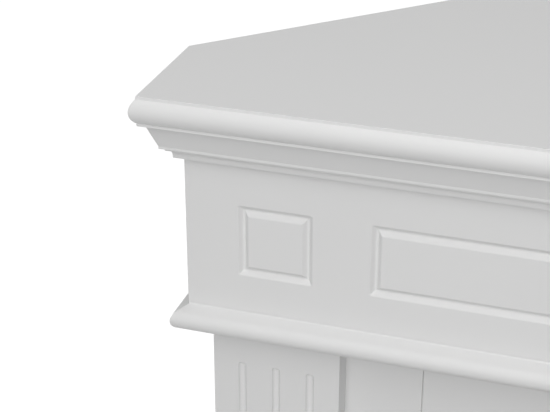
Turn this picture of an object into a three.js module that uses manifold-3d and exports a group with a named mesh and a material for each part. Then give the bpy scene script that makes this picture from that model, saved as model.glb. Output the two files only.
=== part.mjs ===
// A corner fireplace: a painted mantel that stands across the corner of a room, and the electric
// firebox inside it. Millimetres, +Z up, +X to the right, the front faces -Y. The origin is on the
// floor, under the middle of the overall box. The two walls run at 45 degrees and meet behind the tip.
import * as THREE from 'three';
import { mergeVertices } from 'three/addons/utils/BufferGeometryUtils.js';
import Module from 'manifold-3d';

const wasm = await Module();
wasm.setup();

// ---------------------------------------------------------------- driving dimensions

// Fits
const fit = 0.3; // gap between two pieces that touch
const turnFit = 0.35; // radial gap round a pin that turns
const seam = 1.0; // open joint between a stile and the header
const past = 1; // how far a cutting tool runs beyond the face it starts or ends at

// Overall
const overallHeight = 955;
const friezeWidth = 962; // over the frieze's two returns
const noseOut = 36.2; // shelf nose beyond the frieze
const returnLength = 123; // from the shelf's nose back to its wall edge
const wallClearance = 8; // from the wall to the cabinet's back panels

// Shelf
const shelfThickness = 24.9;
const shelfNoseRadius = 13.7;
const shelfNoseRise = 11.9; // centre of the nose above the shelf's underside
const quirkIn = 5.5; // top arris, back from the nose

// Crown moulding, as overhang in front of the frieze and drop below the shelf's top
const crownTopOut = 30.8;
const crownFillet = 1.7;
const crownSlopeOut = 25.6;
const crownLipOut = 17.4;
const crownLipDrop = 51.3;
const crownLip = 2.6;
const bedOut = 8.4;
const bedTaper = 0.2; // foot of the bed, in from its top
const bedCove = 5;
const bedCoveDrop = 2.7; // cove's upper end below the lip
const bedFillet = 0.3;
const crownDrop = 62.2;

// Frieze and its routed panels
const friezeThickness = 15.7;
const friezeDrop = 207.5; // frieze bottom below the shelf's top
const panelTopDrop = 102.2;
const panelHeight = 69.2;
const squareWidth = 68.5;
const squareMargin = 45.6; // from the frieze's end to the square panel
const panelGap = 49.5; // between the square and the long panel
const grooveWidth = 10.8;
const grooveDepth = 4;

// Lower moulding
const ledgeOut = 14.2;
const ledgeThickness = 22.7;
const ledgeCove = 2.5;

// Pilasters
const pilasterInset = 15.5; // in from the frieze's side
const pilasterWidth = 120;
const pilasterThickness = 21.7;
const fluteRadius = 4.2;
const fluteProud = 0.8; // flute centre in front of the face
const fluteSpacing = 32.3;
const fluteMargin = 41.3; // plain length above and below a flute
const plinthHeight = 84.7;
const plinthOut = 6.5;
const plinthShoulder = 5;
const plinthLip = 2;

// Carcass boards
const stileThickness = 16;
const sideThickness = 16;
const wallPanelThickness = 12;
const skirtHeight = 97.7;
const skirtThickness = 15;
const hearthThickness = 22;
const hearthOut = 14;

// Openings in the back panels
const cablePortWidth = 120;
const cablePortHeight = 70;
const cablePortZ = 200;
const cablePortX = 140;
const ventCount = 6;
const ventWidth = 130;
const ventHeight = 8;
const ventPitch = 20;
const ventZ = 640;
const ventX = 235;

// Fire opening
const openingWidth = 547;
const openingHeight = 468;
const sillHeight = 29.7;

// Firebox casing
const sheet = 1.5;
const frameThickness = 2;
const frameLap = 14.5; // frame hidden behind the surround
const frameBorder = 30;
const slotMargin = 12;
const slotHeight = 26;
const casingInset = 26; // casing side in from the frame's edge
const casingDrop = 8; // casing top below the frame's top
const casingDepth = 193.3;
const lipWidth = 14;
const gasketThickness = 2;
const gasketWidth = 5;
const glassThickness = 4;
const glassLap = 9; // glass beyond the window on each side
const plateStep = 4; // deck and baffle beyond the window
const screenDepth = 100; // glass to flame screen
const screenThickness = 3;
const bracketHeight = 40;
const bracketReach = 36;
const bracketJoggle = 4; // length of its bend over the frame's edge

// Fire
const emberHeight = 20;
const emberWidth = 470;
const emberEdge = 4; // thickness of the bed's rim
const emberFrontShare = 0.55; // height at the bed's front, as a share of its height at the back
const emberLumps = 2.2;
const emberBackGap = 3; // to the screen
const emberFrontGap = 2; // to the grate
const logSides = 10;
const logSteps = 7;
const logBark = 0.07; // how far out of round a log is, as a share of its radius
const logKnots = 0.05;
const grateBars = 9;
const grateWidth = 400;
const grateHeight = 46;
const grateBar = 5;
const grateGap = 4; // from the casing's lip

const logRise = 20; // a log end's height above the bed and its radius, which the table gives shares of
const logRadius = 20;

// Each log's two ends: across and deep as shares of the bed, then shares of the rise and the radius
const logEnds = {
  log_back: [
    { across: -0.817, deep: 0.678, rise: 1, girth: 1.15 },
    { across: 0.8, deep: 0.666, rise: 1.15, girth: 1.05 },
  ],
  log_left: [
    { across: -0.723, deep: 0.226, rise: 0.6, girth: 0.85 },
    { across: -0.204, deep: 0.571, rise: 2.1, girth: 0.7 },
  ],
  log_right: [
    { across: 0.74, deep: 0.226, rise: 0.6, girth: 0.9 },
    { across: 0.264, deep: 0.571, rise: 2.15, girth: 0.7 },
  ],
  log_top: [
    { across: -0.502, deep: 0.499, rise: 3, girth: 0.7 },
    { across: 0.545, deep: 0.547, rise: 3.2, girth: 0.6 },
  ],
};

// Flame effect
const rodRadius = 2.5;
const rodRise = 32; // rod axis above the deck
const rodBehind = 36; // rod axis behind the screen
const rodEndGap = 2; // from the rod's free end to the casing
const paddleReach = 23;
const paddleCount = 14;
const paddleShare = 0.7; // of the pitch
const paddleTurn = 50; // degrees from one paddle to the next
const paddleThickness = 1;
const paddleMargin = 16; // plain rod beside the motor
const flickerMotorRadius = 22;
const flickerMotorLength = 24;
const bushLength = 10;
const bushRadius = 8;
const boardThickness = 1.6;
const ledBoardDepth = 20;
const ledBoardMargin = 60; // from the casing's side

// Heater
const ductHalfWidth = 205;
const ductHeight = 49;
const wheelRadius = 17;
const scrollGap = 3.2;
const wheelBehind = 75; // wheel axis behind the duct's mouth
const wheelGap = 3; // from the wheel's end to the duct
const wheelBlades = 16;
const bladeDepth = 6;
const bladeRoot = 10; // degrees that a blade's root and its tip span, and the lead of its tip
const bladeTip = 5;
const bladeLead = 9;
const shaftRadius = 3;
const grilleThickness = 3;
const grilleLap = 4;
const grilleRows = 4;
const grilleColumns = 6;
const grilleBar = 2.6;
const elementBehind = 14; // element behind the duct's mouth
const elementDepth = 10;
const elementCells = 12;
const elementWall = 4;
const blowerMotorRadius = 18;
const blowerMotorLength = 34;
const canShare = 0.8; // of the motor's radius

// Controls
const podWidth = 145;
const podHeight = 43;
const podMargin = 10; // above the sill
const podSideMargin = 1; // from the window's side
const podDepth = 8;
const podFlange = 8;
const podWall = 2;
const hingeEar = 2;
const hingeClear = 0.4; // round the ears
const hingeFoot = 0.6; // the ear above the opening's edge
const hingePinRadius = 0.8;
const hingePinRise = 3.2;
const flapBelowPin = 1.4;
const flapThickness = 2;
const flapGap = 1.2;
const buttonRadius = 6;
const buttonProud = 3.5;
const buttonTravel = 1.5;
const buttonSpacing = 28;
const buttonShift = 16.8; // middle button, left of the panel's middle
const buttonEdge = 0.8;
const buttonCollar = 1.5;
const buttonCollarThickness = 1.2;
const buttonStemRadius = 2;
const rockerWidth = 12.6;
const rockerHeight = 18.4;
const rockerMargin = 8; // from the panel's right end
const rockerTilt = 7; // degrees each side of level
const rockerFront = 7.2; // the paddle's ends, waist, shoulders and tail, from the pivot
const rockerWaist = 5.8;
const rockerShoulder = 1;
const rockerTail = 3;
const rockerSwing = 1.6; // room above and below the paddle
const rockerPivot = 2.5; // behind the panel's floor
const trunnionRadius = 1.3;
const trunnionLength = 2;
const lugWall = 1; // lug beyond the trunnion's end
const lugHalf = 3;
const boardStandOff = 6.2;
const boardMarginX = 3;
const boardMarginZ = 1;
const postRadius = 2.5;
const postInsetX = 8;
const postInsetZ = 6;
const inletWidth = 40;
const inletHeight = 30;
const inletDepth = 18;
const inletInset = 65.5; // its middle, in from the casing's side
const inletRise = 20;
const inletWall = 6;
const inletFloor = 3;

// ---------------------------------------------------------------- places worked out from them

const overallWidth = friezeWidth + 2 * noseOut;
const overallDepth = returnLength + overallWidth / 2;
const tipY = overallDepth / 2;
const frontY = noseOut - overallDepth / 2; // frieze's front face
const sideX = friezeWidth / 2; // frieze's side face

const shelfZ = overallHeight - shelfThickness;
const underShelf = shelfZ - fit;
const friezeZ = overallHeight - friezeDrop;
const ledgeZ = friezeZ - ledgeThickness;
const hearthZ = skirtHeight + fit;
const hearthTop = hearthZ + hearthThickness;
const boardZ = hearthTop + fit; // what stands on the hearth board

const friezeBackY = frontY + friezeThickness;
const pilasterY = friezeBackY + fit;
const surroundY = pilasterY + pilasterThickness + fit;
const surroundBackY = surroundY + stileThickness;
const cabinetX = sideX - pilasterInset;
const openingX = openingWidth / 2;
const openingZ = boardZ + sillHeight;
const openingTop = openingZ + openingHeight;

const frameY = surroundBackY + fit;
const frameBackY = frameY + frameThickness;
const frameX = openingX + frameLap;
const frameTop = openingTop + frameLap;
const windowX = openingX - frameBorder;
const podZ = openingZ + podMargin;
const podTop = podZ + podHeight;
const windowZ = podTop + podFlange + glassLap + gasketThickness;
const slotTop = openingTop - slotMargin;
const slotZ = slotTop - slotHeight;
const windowTop = slotZ - grilleLap - glassLap - fit;

const gasketY = frameBackY + fit;
const glassY = gasketY + gasketThickness + fit;
const glassBackY = glassY + glassThickness;
const lipY = glassBackY + fit;
const innerY = lipY + sheet + fit; // first free plane inside the casing
const casingX = frameX - casingInset;
const insideX = casingX - sheet - fit;
const casingTop = frameTop - casingDrop;
const casingBackY = lipY + casingDepth;
const insideBackY = casingBackY - sheet - fit;
const deckZ = windowZ + plateStep;
const deckTop = deckZ + sheet;
const baffleZ = windowTop + plateStep;
const baffleTop = baffleZ + sheet;
const screenY = glassBackY + screenDepth;
const screenBackY = screenY + screenThickness;
const podX = windowX - podWidth / 2 - podSideMargin;
const podHalf = podWidth / 2;

// Distance back to the wall at x, less a clearance square to the wall
const wallAt = (x, off) => tipY - Math.abs(x) - off * Math.SQRT2;

// ---------------------------------------------------------------- materials

const paint = (color, roughness, metalness = 0) =>
  new THREE.MeshStandardMaterial({ color, roughness, metalness });

const whitePaint = paint(0xe9e9e8, 0.5);
const rawBoard = paint(0xa98a63, 0.85);
const blackSteel = paint(0x17181a, 0.5, 0.6);
const bareSteel = paint(0xa9abad, 0.4, 0.9);
const smokedGlass = paint(0x20262a, 0.05);
const frostedScreen = paint(0x3a3f44, 0.4);
const sealRubber = paint(0x1a1a1a, 0.9);
const emberResin = paint(0x5b2a14, 0.8);
const logResin = paint(0x4a3426, 0.9);
const blackPlastic = paint(0x1c1c1e, 0.55);
const circuitBoard = paint(0x1d5a34, 0.5);

// ---------------------------------------------------------------- geometry helpers

// Shared corners merged, and faces turned out when the enclosed volume comes out negative
function closed(geometry) {
  geometry.deleteAttribute('normal');
  geometry.deleteAttribute('uv');
  const merged = mergeVertices(geometry, 1e-4);
  const p = merged.getAttribute('position');
  const index = Array.from(merged.index.array);
  const a = new THREE.Vector3();
  const b = new THREE.Vector3();
  const c = new THREE.Vector3();
  let volume = 0;
  for (let i = 0; i < index.length; i += 3) {
    a.fromBufferAttribute(p, index[i]);
    b.fromBufferAttribute(p, index[i + 1]);
    c.fromBufferAttribute(p, index[i + 2]);
    volume += a.dot(b.cross(c));
  }
  return volume < 0 ? turned(merged) : merged;
}

// The same surface with every face turned over
function turned(geometry) {
  const index = geometry.index.array;
  const flipped = [];
  for (let i = 0; i < index.length; i += 3) flipped.push(index[i], index[i + 2], index[i + 1]);
  geometry.setIndex(flipped);
  return geometry;
}

const mirrored = (geometry) => turned(geometry.clone().scale(-1, 1, 1));

function toSolid(geometry) {
  return new wasm.Manifold(new wasm.Mesh({
    numProp: 3,
    vertProperties: new Float32Array(geometry.getAttribute('position').array),
    triVerts: new Uint32Array(geometry.index.array),
  }));
}

function toGeometry(solid) {
  const mesh = solid.getMesh();
  const geometry = new THREE.BufferGeometry();
  const points = [];
  for (let i = 0; i < mesh.vertProperties.length; i += mesh.numProp) {
    points.push(...mesh.vertProperties.slice(i, i + 3));
  }
  geometry.setAttribute('position', new THREE.Float32BufferAttribute(points, 3));
  geometry.setIndex(Array.from(mesh.triVerts));
  return geometry;
}

const cut = (body, ...tools) =>
  toGeometry(tools.reduce((solid, tool) => solid.subtract(toSolid(tool)), toSolid(body)));

const join = (...bodies) =>
  toGeometry(bodies.slice(1).reduce((solid, body) => solid.add(toSolid(body)), toSolid(bodies[0])));

const vectors = (points) => points.map(([x, y]) => new THREE.Vector2(x, y));

// A box between two corners
function board(x0, x1, y0, y1, z0, z1) {
  const box = new THREE.BoxGeometry(x1 - x0, y1 - y0, z1 - z0);
  return closed(box.translate((x0 + x1) / 2, (y0 + y1) / 2, (z0 + z1) / 2));
}

// A plan outline [x, y] drawn up from z0 to z1
function prism(points, z0, z1) {
  const shape = new THREE.Shape(vectors(points));
  const solid = new THREE.ExtrudeGeometry(shape, { depth: z1 - z0, bevelEnabled: false });
  return closed(solid.translate(0, 0, z0));
}

// A front outline [x, z] from y0 back to y1, with holes taken right through it
function plate(points, holes, y0, y1) {
  const slice = (outline, front, back) => {
    const solid = new THREE.ExtrudeGeometry(
      new THREE.Shape(vectors(outline)), { depth: back - front, bevelEnabled: false });
    return closed(solid.rotateX(Math.PI / 2).translate(0, back, 0));
  };
  const blank = slice(points, y0, y1);
  return holes.length ? cut(blank, ...holes.map((hole) => slice(hole, y0 - past, y1 + past))) : blank;
}

// A side outline [y, z] drawn along X from x0 to x1
function section(points, x0, x1) {
  const shape = new THREE.Shape(vectors(points));
  const solid = new THREE.ExtrudeGeometry(shape, { depth: x1 - x0, bevelEnabled: false });
  const turn = new THREE.Matrix4().makeBasis(
    new THREE.Vector3(0, 1, 0), new THREE.Vector3(0, 0, 1), new THREE.Vector3(1, 0, 0));
  return closed(solid.applyMatrix4(turn).translate(x0, 0, 0));
}

const rectangle = (x0, x1, z0, z1) => [[x0, z0], [x1, z0], [x1, z1], [x0, z1]];

// A round bar along X
function barX(radius, x0, x1, y, z, sides = 12) {
  const bar = new THREE.CylinderGeometry(radius, radius, x1 - x0, sides);
  return closed(bar.rotateZ(-Math.PI / 2).translate((x0 + x1) / 2, y, z));
}

// A round bar along Y
function barY(radius, y0, y1, x, z, sides = 12) {
  const bar = new THREE.CylinderGeometry(radius, radius, y1 - y0, sides);
  return closed(bar.translate(x, (y0 + y1) / 2, z));
}

// Points of an arc, in degrees, both ends included
function arc(x, y, radius, from, to, steps) {
  const points = [];
  for (let i = 0; i <= steps; i += 1) {
    const angle = THREE.MathUtils.degToRad(from + ((to - from) * i) / steps);
    points.push([x + radius * Math.cos(angle), y + radius * Math.sin(angle)]);
  }
  return points;
}

// A sheet of constant thickness that follows a line of points, on its left side
function folded(points, thickness) {
  const line = vectors(points);
  const offset = line.map((point, i) => {
    const before = line[Math.max(i - 1, 0)];
    const after = line[Math.min(i + 1, line.length - 1)];
    const into = point.clone().sub(before);
    const out = after.clone().sub(point);
    if (i === 0) into.copy(out);
    if (i === line.length - 1) out.copy(into);
    const a = new THREE.Vector2(-into.y, into.x).normalize();
    const b = new THREE.Vector2(-out.y, out.x).normalize();
    const middle = a.clone().add(b).normalize();
    return point.clone().addScaledVector(middle, thickness / middle.dot(a));
  });
  return [...line, ...offset.reverse()].map((point) => [point.x, point.y]);
}

// Rings of as many points each, joined into a skin and closed by a cap on both ends
function loft(rings, cap) {
  const count = rings[0].length;
  const points = rings.flat();
  const index = [];
  for (let r = 0; r + 1 < rings.length; r += 1) {
    for (let i = 0; i < count; i += 1) {
      const a = r * count + i;
      const b = r * count + ((i + 1) % count);
      index.push(a, b, b + count, a, b + count, a + count);
    }
  }
  const last = (rings.length - 1) * count;
  cap(rings[0], points).forEach(([a, b, c]) => index.push(a, c, b));
  cap(rings[rings.length - 1], points).forEach(([a, b, c]) =>
    index.push(a < count ? a + last : a, b < count ? b + last : b, c < count ? c + last : c));
  const geometry = new THREE.BufferGeometry();
  geometry.setAttribute('position', new THREE.Float32BufferAttribute(points.flatMap((p) => p.toArray()), 3));
  geometry.setIndex(index);
  return closed(geometry);
}

// A cap for a level ring
const levelCap = (ring) =>
  THREE.ShapeUtils.triangulateShape(ring.map((p) => new THREE.Vector2(p.x, p.y)), []);

// A cap of triangles about the ring's middle
function fanCap(ring, points) {
  const middle = ring.reduce((sum, p) => sum.add(p), new THREE.Vector3()).divideScalar(ring.length);
  points.push(middle);
  const hub = points.length - 1;
  return ring.map((_, i) => [i, (i + 1) % ring.length, hub]);
}

// ---------------------------------------------------------------- mouldings and slabs

// A level slab that overhangs the frieze line by `out` at each height; outline(out) is its plan
const slab = (profile, outline) =>
  loft(profile.map(([out, z]) => outline(out).map(([x, y]) => new THREE.Vector3(x, y, z))), levelCap);

// A moulding of profile [out, z]. Each end's place along the run is end(out), so a mitre or a cut
// at the wall is only a slope of that function. place(along, out, z) gives the point.
function moulding(profile, start, end, place) {
  const shape = new THREE.Shape(vectors(profile));
  const solid = new THREE.ExtrudeGeometry(shape, { depth: 1, bevelEnabled: false });
  const p = solid.getAttribute('position');
  for (let i = 0; i < p.count; i += 1) {
    const out = p.getX(i);
    const along = p.getZ(i) < 0.5 ? start(out) : end(out);
    p.setXYZ(i, ...place(along, out, p.getY(i)));
  }
  return closed(solid);
}

const frontRun = (profile) =>
  moulding(profile, (out) => -sideX - out, (out) => sideX + out,
    (along, out, z) => [along, frontY - out, z]);

// Left return: mitred to the front run, and cut at 45 degrees where the wall is
const leftReturn = (profile) =>
  moulding(profile, (out) => frontY - out + fit * Math.SQRT2,
    (out) => wallAt(sideX + out, wallClearance),
    (along, out, z) => [-sideX - out, along, z]);

const shelfNose = () => {
  const middle = noseOut - shelfNoseRadius;
  const z = shelfZ + shelfNoseRise;
  const low = THREE.MathUtils.radToDeg(Math.asin(shelfNoseRise / shelfNoseRadius));
  const top = THREE.MathUtils.radToDeg(Math.acos((shelfNoseRadius - quirkIn) / shelfNoseRadius));
  return [
    ...arc(middle, z, shelfNoseRadius, -low, 0, 6),
    ...arc(middle, z, shelfNoseRadius, 0, top, 5).slice(1),
    [noseOut - quirkIn, overallHeight],
  ];
};

function crownProfile() {
  const z = (drop) => overallHeight - drop;
  const top = shelfThickness + fit;
  const slopeDrop = top + crownFillet;
  const lipTop = crownLipDrop - crownLip;
  const coveDrop = crownLipDrop + bedCoveDrop + bedCove;
  return [
    [fit, z(top)],
    [fit, z(crownDrop)],
    [bedOut - bedTaper, z(crownDrop)],
    [bedOut, z(coveDrop + bedFillet)],
    ...arc(bedOut + bedCove, z(coveDrop), bedCove, 180, 90, 4),
    [bedOut + bedCove, z(crownLipDrop)],
    [crownLipOut, z(crownLipDrop)],
    [crownLipOut, z(lipTop)],
    [crownSlopeOut, z(slopeDrop)],
    [crownTopOut, z(slopeDrop)],
    [crownTopOut, z(top)],
  ];
}

// Lower moulding: a small cove against the frieze, a round nose, and a body that runs back to `back`
function ledgeProfile(back) {
  const radius = ledgeThickness / 2;
  const middle = ledgeOut - radius;
  const top = friezeZ - fit;
  const coveStart = middle - ledgeCove;
  return [
    [coveStart, top + ledgeCove],
    ...arc(middle, top + ledgeCove, ledgeCove, 180, 270, 3).slice(1),
    ...arc(middle, top - radius, radius, 90, -90, 10).slice(1),
    [-back, top - ledgeThickness],
    [-back, top],
    [fit, top],
    [fit, top + ledgeCove],
  ];
}

// ---------------------------------------------------------------- mantel

const model = new THREE.Group();

function add(name, geometry, material) {
  const mesh = new THREE.Mesh(geometry, material);
  mesh.name = name;
  model.add(mesh);
}

// A left piece and its mirror image on the right
function addPair(name, geometry, material) {
  add(`${name}_left`, geometry, material);
  add(`${name}_right`, mirrored(geometry), material);
}

// The shelf's wall edges touch the walls
const shelfOutline = (out) => {
  const x = sideX + out;
  return [[-x, frontY - out], [x, frontY - out], [x, wallAt(x, 0)], [0, wallAt(0, 0)], [-x, wallAt(x, 0)]];
};

// The hearth board runs between the back panels, with an ear beside each of them
const hearthOutline = (out) => {
  const x = sideX + out;
  const ear = cabinetX + fit;
  const behind = wallClearance + wallPanelThickness + fit;
  return [
    [-x, frontY - out],
    [x, frontY - out],
    [x, wallAt(x, wallClearance)],
    [ear, wallAt(ear, wallClearance)],
    [ear, wallAt(ear, behind)],
    [0, wallAt(0, behind)],
    [-ear, wallAt(ear, behind)],
    [-ear, wallAt(ear, wallClearance)],
    [-x, wallAt(x, wallClearance)],
  ];
};

const hearthNose = () => {
  const radius = hearthThickness / 2;
  return arc(hearthOut - radius, hearthZ + radius, radius, -90, 90, 10);
};

// A closed V groove round a panel, as the tool that is taken out of the board
function panelGroove(x0, x1) {
  const z1 = overallHeight - panelTopDrop;
  const z0 = z1 - panelHeight;
  const half = grooveWidth / 2;
  const ring = (inset, y) => [
    new THREE.Vector3(x0 + inset, y, z0 + inset),
    new THREE.Vector3(x1 - inset, y, z0 + inset),
    new THREE.Vector3(x1 - inset, y, z1 - inset),
    new THREE.Vector3(x0 + inset, y, z1 - inset),
  ];
  const above = frontY - past;
  const rings = [ring(0, above), ring(0, frontY), ring(half, frontY + grooveDepth),
    ring(grooveWidth, frontY), ring(grooveWidth, above), ring(0, above)];
  return loft(rings, () => []);
}

function friezeBoard() {
  const blank = board(-sideX, sideX, frontY, friezeBackY, friezeZ, underShelf);
  const squareX = sideX - squareMargin;
  const longX = squareX - squareWidth - panelGap;
  return cut(blank,
    panelGroove(-squareX, squareWidth - squareX),
    panelGroove(-longX, longX),
    panelGroove(squareX - squareWidth, squareX));
}

// A board with three stopped flutes, cut by a round-nosed tool
function pilaster() {
  const x0 = -cabinetX;
  const z0 = boardZ + plinthHeight + fit;
  const z1 = ledgeZ - 2 * fit;
  const blank = board(x0, x0 + pilasterWidth, pilasterY, pilasterY + pilasterThickness, z0, z1);
  const length = z1 - z0 - 2 * fluteMargin - 2 * fluteRadius;
  const flutes = [-1, 0, 1].map((place) => {
    const flute = new THREE.CapsuleGeometry(fluteRadius, length, 4, 16);
    return closed(flute.rotateX(Math.PI / 2).translate(
      x0 + pilasterWidth / 2 + place * fluteSpacing, pilasterY - fluteProud, (z0 + z1) / 2));
  });
  return cut(blank, ...flutes);
}

// A block wider than the pilaster, with a rounded shoulder under a small lip
function plinthBlock() {
  const z1 = boardZ + plinthHeight;
  const shoulder = plinthOut - plinthShoulder;
  const profile = [
    [plinthOut, boardZ],
    ...arc(shoulder, z1 - plinthLip - plinthShoulder, plinthShoulder, 0, 90, 4),
    [shoulder, z1],
  ];
  return slab(profile, (out) => [
    [-cabinetX - out, pilasterY - out],
    [-cabinetX + pilasterWidth + out, pilasterY - out],
    [-cabinetX + pilasterWidth + out, pilasterY + pilasterThickness],
    [-cabinetX - out, pilasterY + pilasterThickness],
  ]);
}

function mantel() {
  add('mantel_top', slab(shelfNose(), shelfOutline), whitePaint);
  add('crown_moulding_front', frontRun(crownProfile()), whitePaint);
  addPair('crown_moulding', leftReturn(crownProfile()), whitePaint);
  add('frieze_board', friezeBoard(), whitePaint);
  const returnInside = -cabinetX - fit;
  addPair('frieze_return', prism([
    [-sideX, friezeBackY + fit],
    [returnInside, friezeBackY + fit],
    [returnInside, wallAt(returnInside, wallClearance)],
    [-sideX, wallAt(sideX, wallClearance)],
  ], friezeZ, underShelf), whitePaint);
  add('lower_moulding_front', frontRun(ledgeProfile(surroundY - fit - frontY)), whitePaint);
  addPair('lower_moulding', leftReturn(ledgeProfile(pilasterInset - fit)), whitePaint);
  addPair('pilaster', pilaster(), whitePaint);
  addPair('plinth_block', plinthBlock(), whitePaint);
}

// ---------------------------------------------------------------- carcass

// One back panel, at 45 degrees, with a port for the lead and slots for the air
function wallPanel() {
  const inside = wallClearance + wallPanelThickness;
  const panel = prism([
    [-cabinetX, wallAt(cabinetX, wallClearance)],
    [-cabinetX, wallAt(cabinetX, inside)],
    [-fit / 2, wallAt(fit / 2, inside)],
    [-fit / 2, wallAt(fit / 2, wallClearance)],
  ], 0, underShelf);
  const through = 3 * wallPanelThickness;
  const opening = (x, z, width, height) =>
    closed(new THREE.BoxGeometry(width, through, height)
      .rotateZ(Math.PI / 4)
      .translate(-x, wallAt(x, wallClearance + wallPanelThickness / 2), z));
  const vents = Array.from({ length: ventCount }, (_, i) =>
    opening(ventX, ventZ + i * ventPitch, ventWidth, ventHeight));
  return cut(panel, opening(cablePortX, cablePortZ, cablePortWidth, cablePortHeight), ...vents);
}

function carcass() {
  const stileInside = -openingX - seam / 2;
  const panelInside = wallClearance + wallPanelThickness + fit;
  addPair('leg_panel',
    board(-cabinetX + sideThickness + fit, stileInside, surroundY, surroundBackY, boardZ, underShelf),
    whitePaint);
  const headerX = openingX - seam / 2;
  add('header_board', board(-headerX, headerX, surroundY, surroundBackY, openingTop, underShelf), whitePaint);
  add('sill_rail', board(-headerX, headerX, surroundY, surroundBackY, boardZ, openingZ), whitePaint);
  const inside = cabinetX - sideThickness;
  addPair('side_panel', prism([
    [-cabinetX, surroundY],
    [-inside, surroundY],
    [-inside, wallAt(inside, panelInside)],
    [-cabinetX, wallAt(cabinetX, panelInside)],
  ], boardZ, underShelf), whitePaint);
  add('hearth_board', slab(hearthNose(), hearthOutline), whitePaint);
  const skirtX = sideX - skirtThickness;
  add('skirt_front', board(-sideX, sideX, frontY, frontY + skirtThickness, 0, skirtHeight), whitePaint);
  addPair('skirt', prism([
    [-sideX, frontY + skirtThickness + fit],
    [-skirtX, frontY + skirtThickness + fit],
    [-skirtX, wallAt(skirtX, wallClearance)],
    [-sideX, wallAt(sideX, wallClearance)],
  ], 0, skirtHeight), whitePaint);
  addPair('wall_panel', wallPanel(), rawBoard);
}

// ---------------------------------------------------------------- firebox casing

// A joggled steel angle from the back of the stile to the casing's side
function bracket() {
  const bend = frameX + bracketJoggle;
  const line = [
    [-bend - bracketReach, surroundBackY + fit],
    [-bend, surroundBackY + fit],
    [-frameX, frameBackY + fit],
    [-casingX - fit - sheet, frameBackY + fit],
    [-casingX - fit - sheet, frameBackY + fit + bracketReach],
  ];
  const middle = (openingZ + openingTop) / 2;
  return prism(folded(line, sheet), middle - bracketHeight / 2, middle + bracketHeight / 2);
}

function casing() {
  add('front_frame', plate(rectangle(-frameX, frameX, boardZ, frameTop), [
    rectangle(-windowX, windowX, windowZ, windowTop),
    rectangle(-windowX, windowX, slotZ, slotTop),
    rectangle(podX - podHalf - hingeClear, podX + podHalf + hingeClear, podZ, podTop),
  ], frameY, frameBackY), blackSteel);
  const gasketIn = windowX + (glassLap - gasketWidth) / 2;
  const sealGap = (glassLap - gasketWidth) / 2;
  add('glass_gasket', plate(
    rectangle(-gasketIn - gasketWidth, gasketIn + gasketWidth,
      windowZ - sealGap - gasketWidth, windowTop + sealGap + gasketWidth),
    [rectangle(-gasketIn, gasketIn, windowZ - sealGap, windowTop + sealGap)],
    gasketY, gasketY + gasketThickness), sealRubber);
  const glassX = windowX + glassLap;
  add('glass_front', board(-glassX, glassX, glassY, glassBackY,
    windowZ - glassLap, windowTop + glassLap), smokedGlass);
  const lipX = casingX - lipWidth;
  add('casing_wrap', prism(folded([
    [lipX, lipY],
    [casingX, lipY],
    [casingX, casingBackY],
    [-casingX, casingBackY],
    [-casingX, lipY],
    [-lipX, lipY],
  ], sheet), boardZ, casingTop), blackSteel);
  add('casing_top', board(-casingX, casingX, lipY, casingBackY,
    casingTop + fit, casingTop + fit + sheet), blackSteel);
  const level = (z) => board(-insideX, insideX, innerY, insideBackY, z, z + sheet);
  add('casing_bottom', level(boardZ), blackSteel);
  add('deck_plate', level(deckZ), blackSteel);
  add('baffle_plate', level(baffleZ), blackSteel);
  add('flame_screen', board(-insideX, insideX, screenY, screenBackY,
    deckTop + fit, baffleZ - fit), frostedScreen);
  addPair('bracket', bracket(), bareSteel);
}

// ---------------------------------------------------------------- fire

// A log from one end to the other. `grow` makes the same log fatter, to hollow out what it lies in.
function log(ends, seed, grow = 0) {
  const [start, finish] = ends.map(({ place }) => place);
  const axis = finish.clone().sub(start);
  const side = new THREE.Vector3(0, 0, 1).cross(axis).normalize();
  const up = axis.clone().cross(side).normalize();
  const rings = [];
  for (let i = 0; i <= logSteps; i += 1) {
    const t = i / logSteps;
    const along = t + ((t - 0.5) * 2 * grow) / axis.length();
    const centre = start.clone().addScaledVector(axis, along);
    const ring = [];
    for (let k = 0; k < logSides; k += 1) {
      const turn = (k / logSides) * 2 * Math.PI;
      const bark = logBark * Math.sin(2 * turn + seed);
      const knots = logKnots * Math.sin(5 * t + 3 * turn + seed);
      const radius = THREE.MathUtils.lerp(ends[0].radius, ends[1].radius, t) * (1 + bark + knots) + grow;
      ring.push(centre.clone()
        .addScaledVector(side, radius * Math.cos(turn))
        .addScaledVector(up, radius * Math.sin(turn)));
    }
    rings.push(ring);
  }
  return loft(rings, fanCap);
}

// A bed of moulded embers with a rolling top
function emberBed(front, back) {
  const columns = 24;
  const rows = 5;
  const floor = deckTop + fit;
  const rings = [];
  for (let i = 0; i <= columns; i += 1) {
    const x = -emberWidth / 2 + (emberWidth * i) / columns;
    const ring = [];
    for (let j = 0; j <= rows; j += 1) {
      const y = THREE.MathUtils.lerp(front, back, j / rows);
      const rise = emberHeight * THREE.MathUtils.lerp(emberFrontShare, 1, j / rows);
      const taper = Math.sqrt(Math.sin((Math.PI * i) / columns));
      const lump = emberLumps * (Math.sin(1.9 * i + 0.7 * j) + 0.7 * Math.sin(0.8 * i - 2.1 * j));
      ring.push(new THREE.Vector3(x, y, floor + emberEdge + (rise + lump) * taper));
    }
    ring.push(new THREE.Vector3(x, back, floor), new THREE.Vector3(x, front, floor));
    rings.push(ring);
  }
  return loft(rings, fanCap);
}

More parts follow.
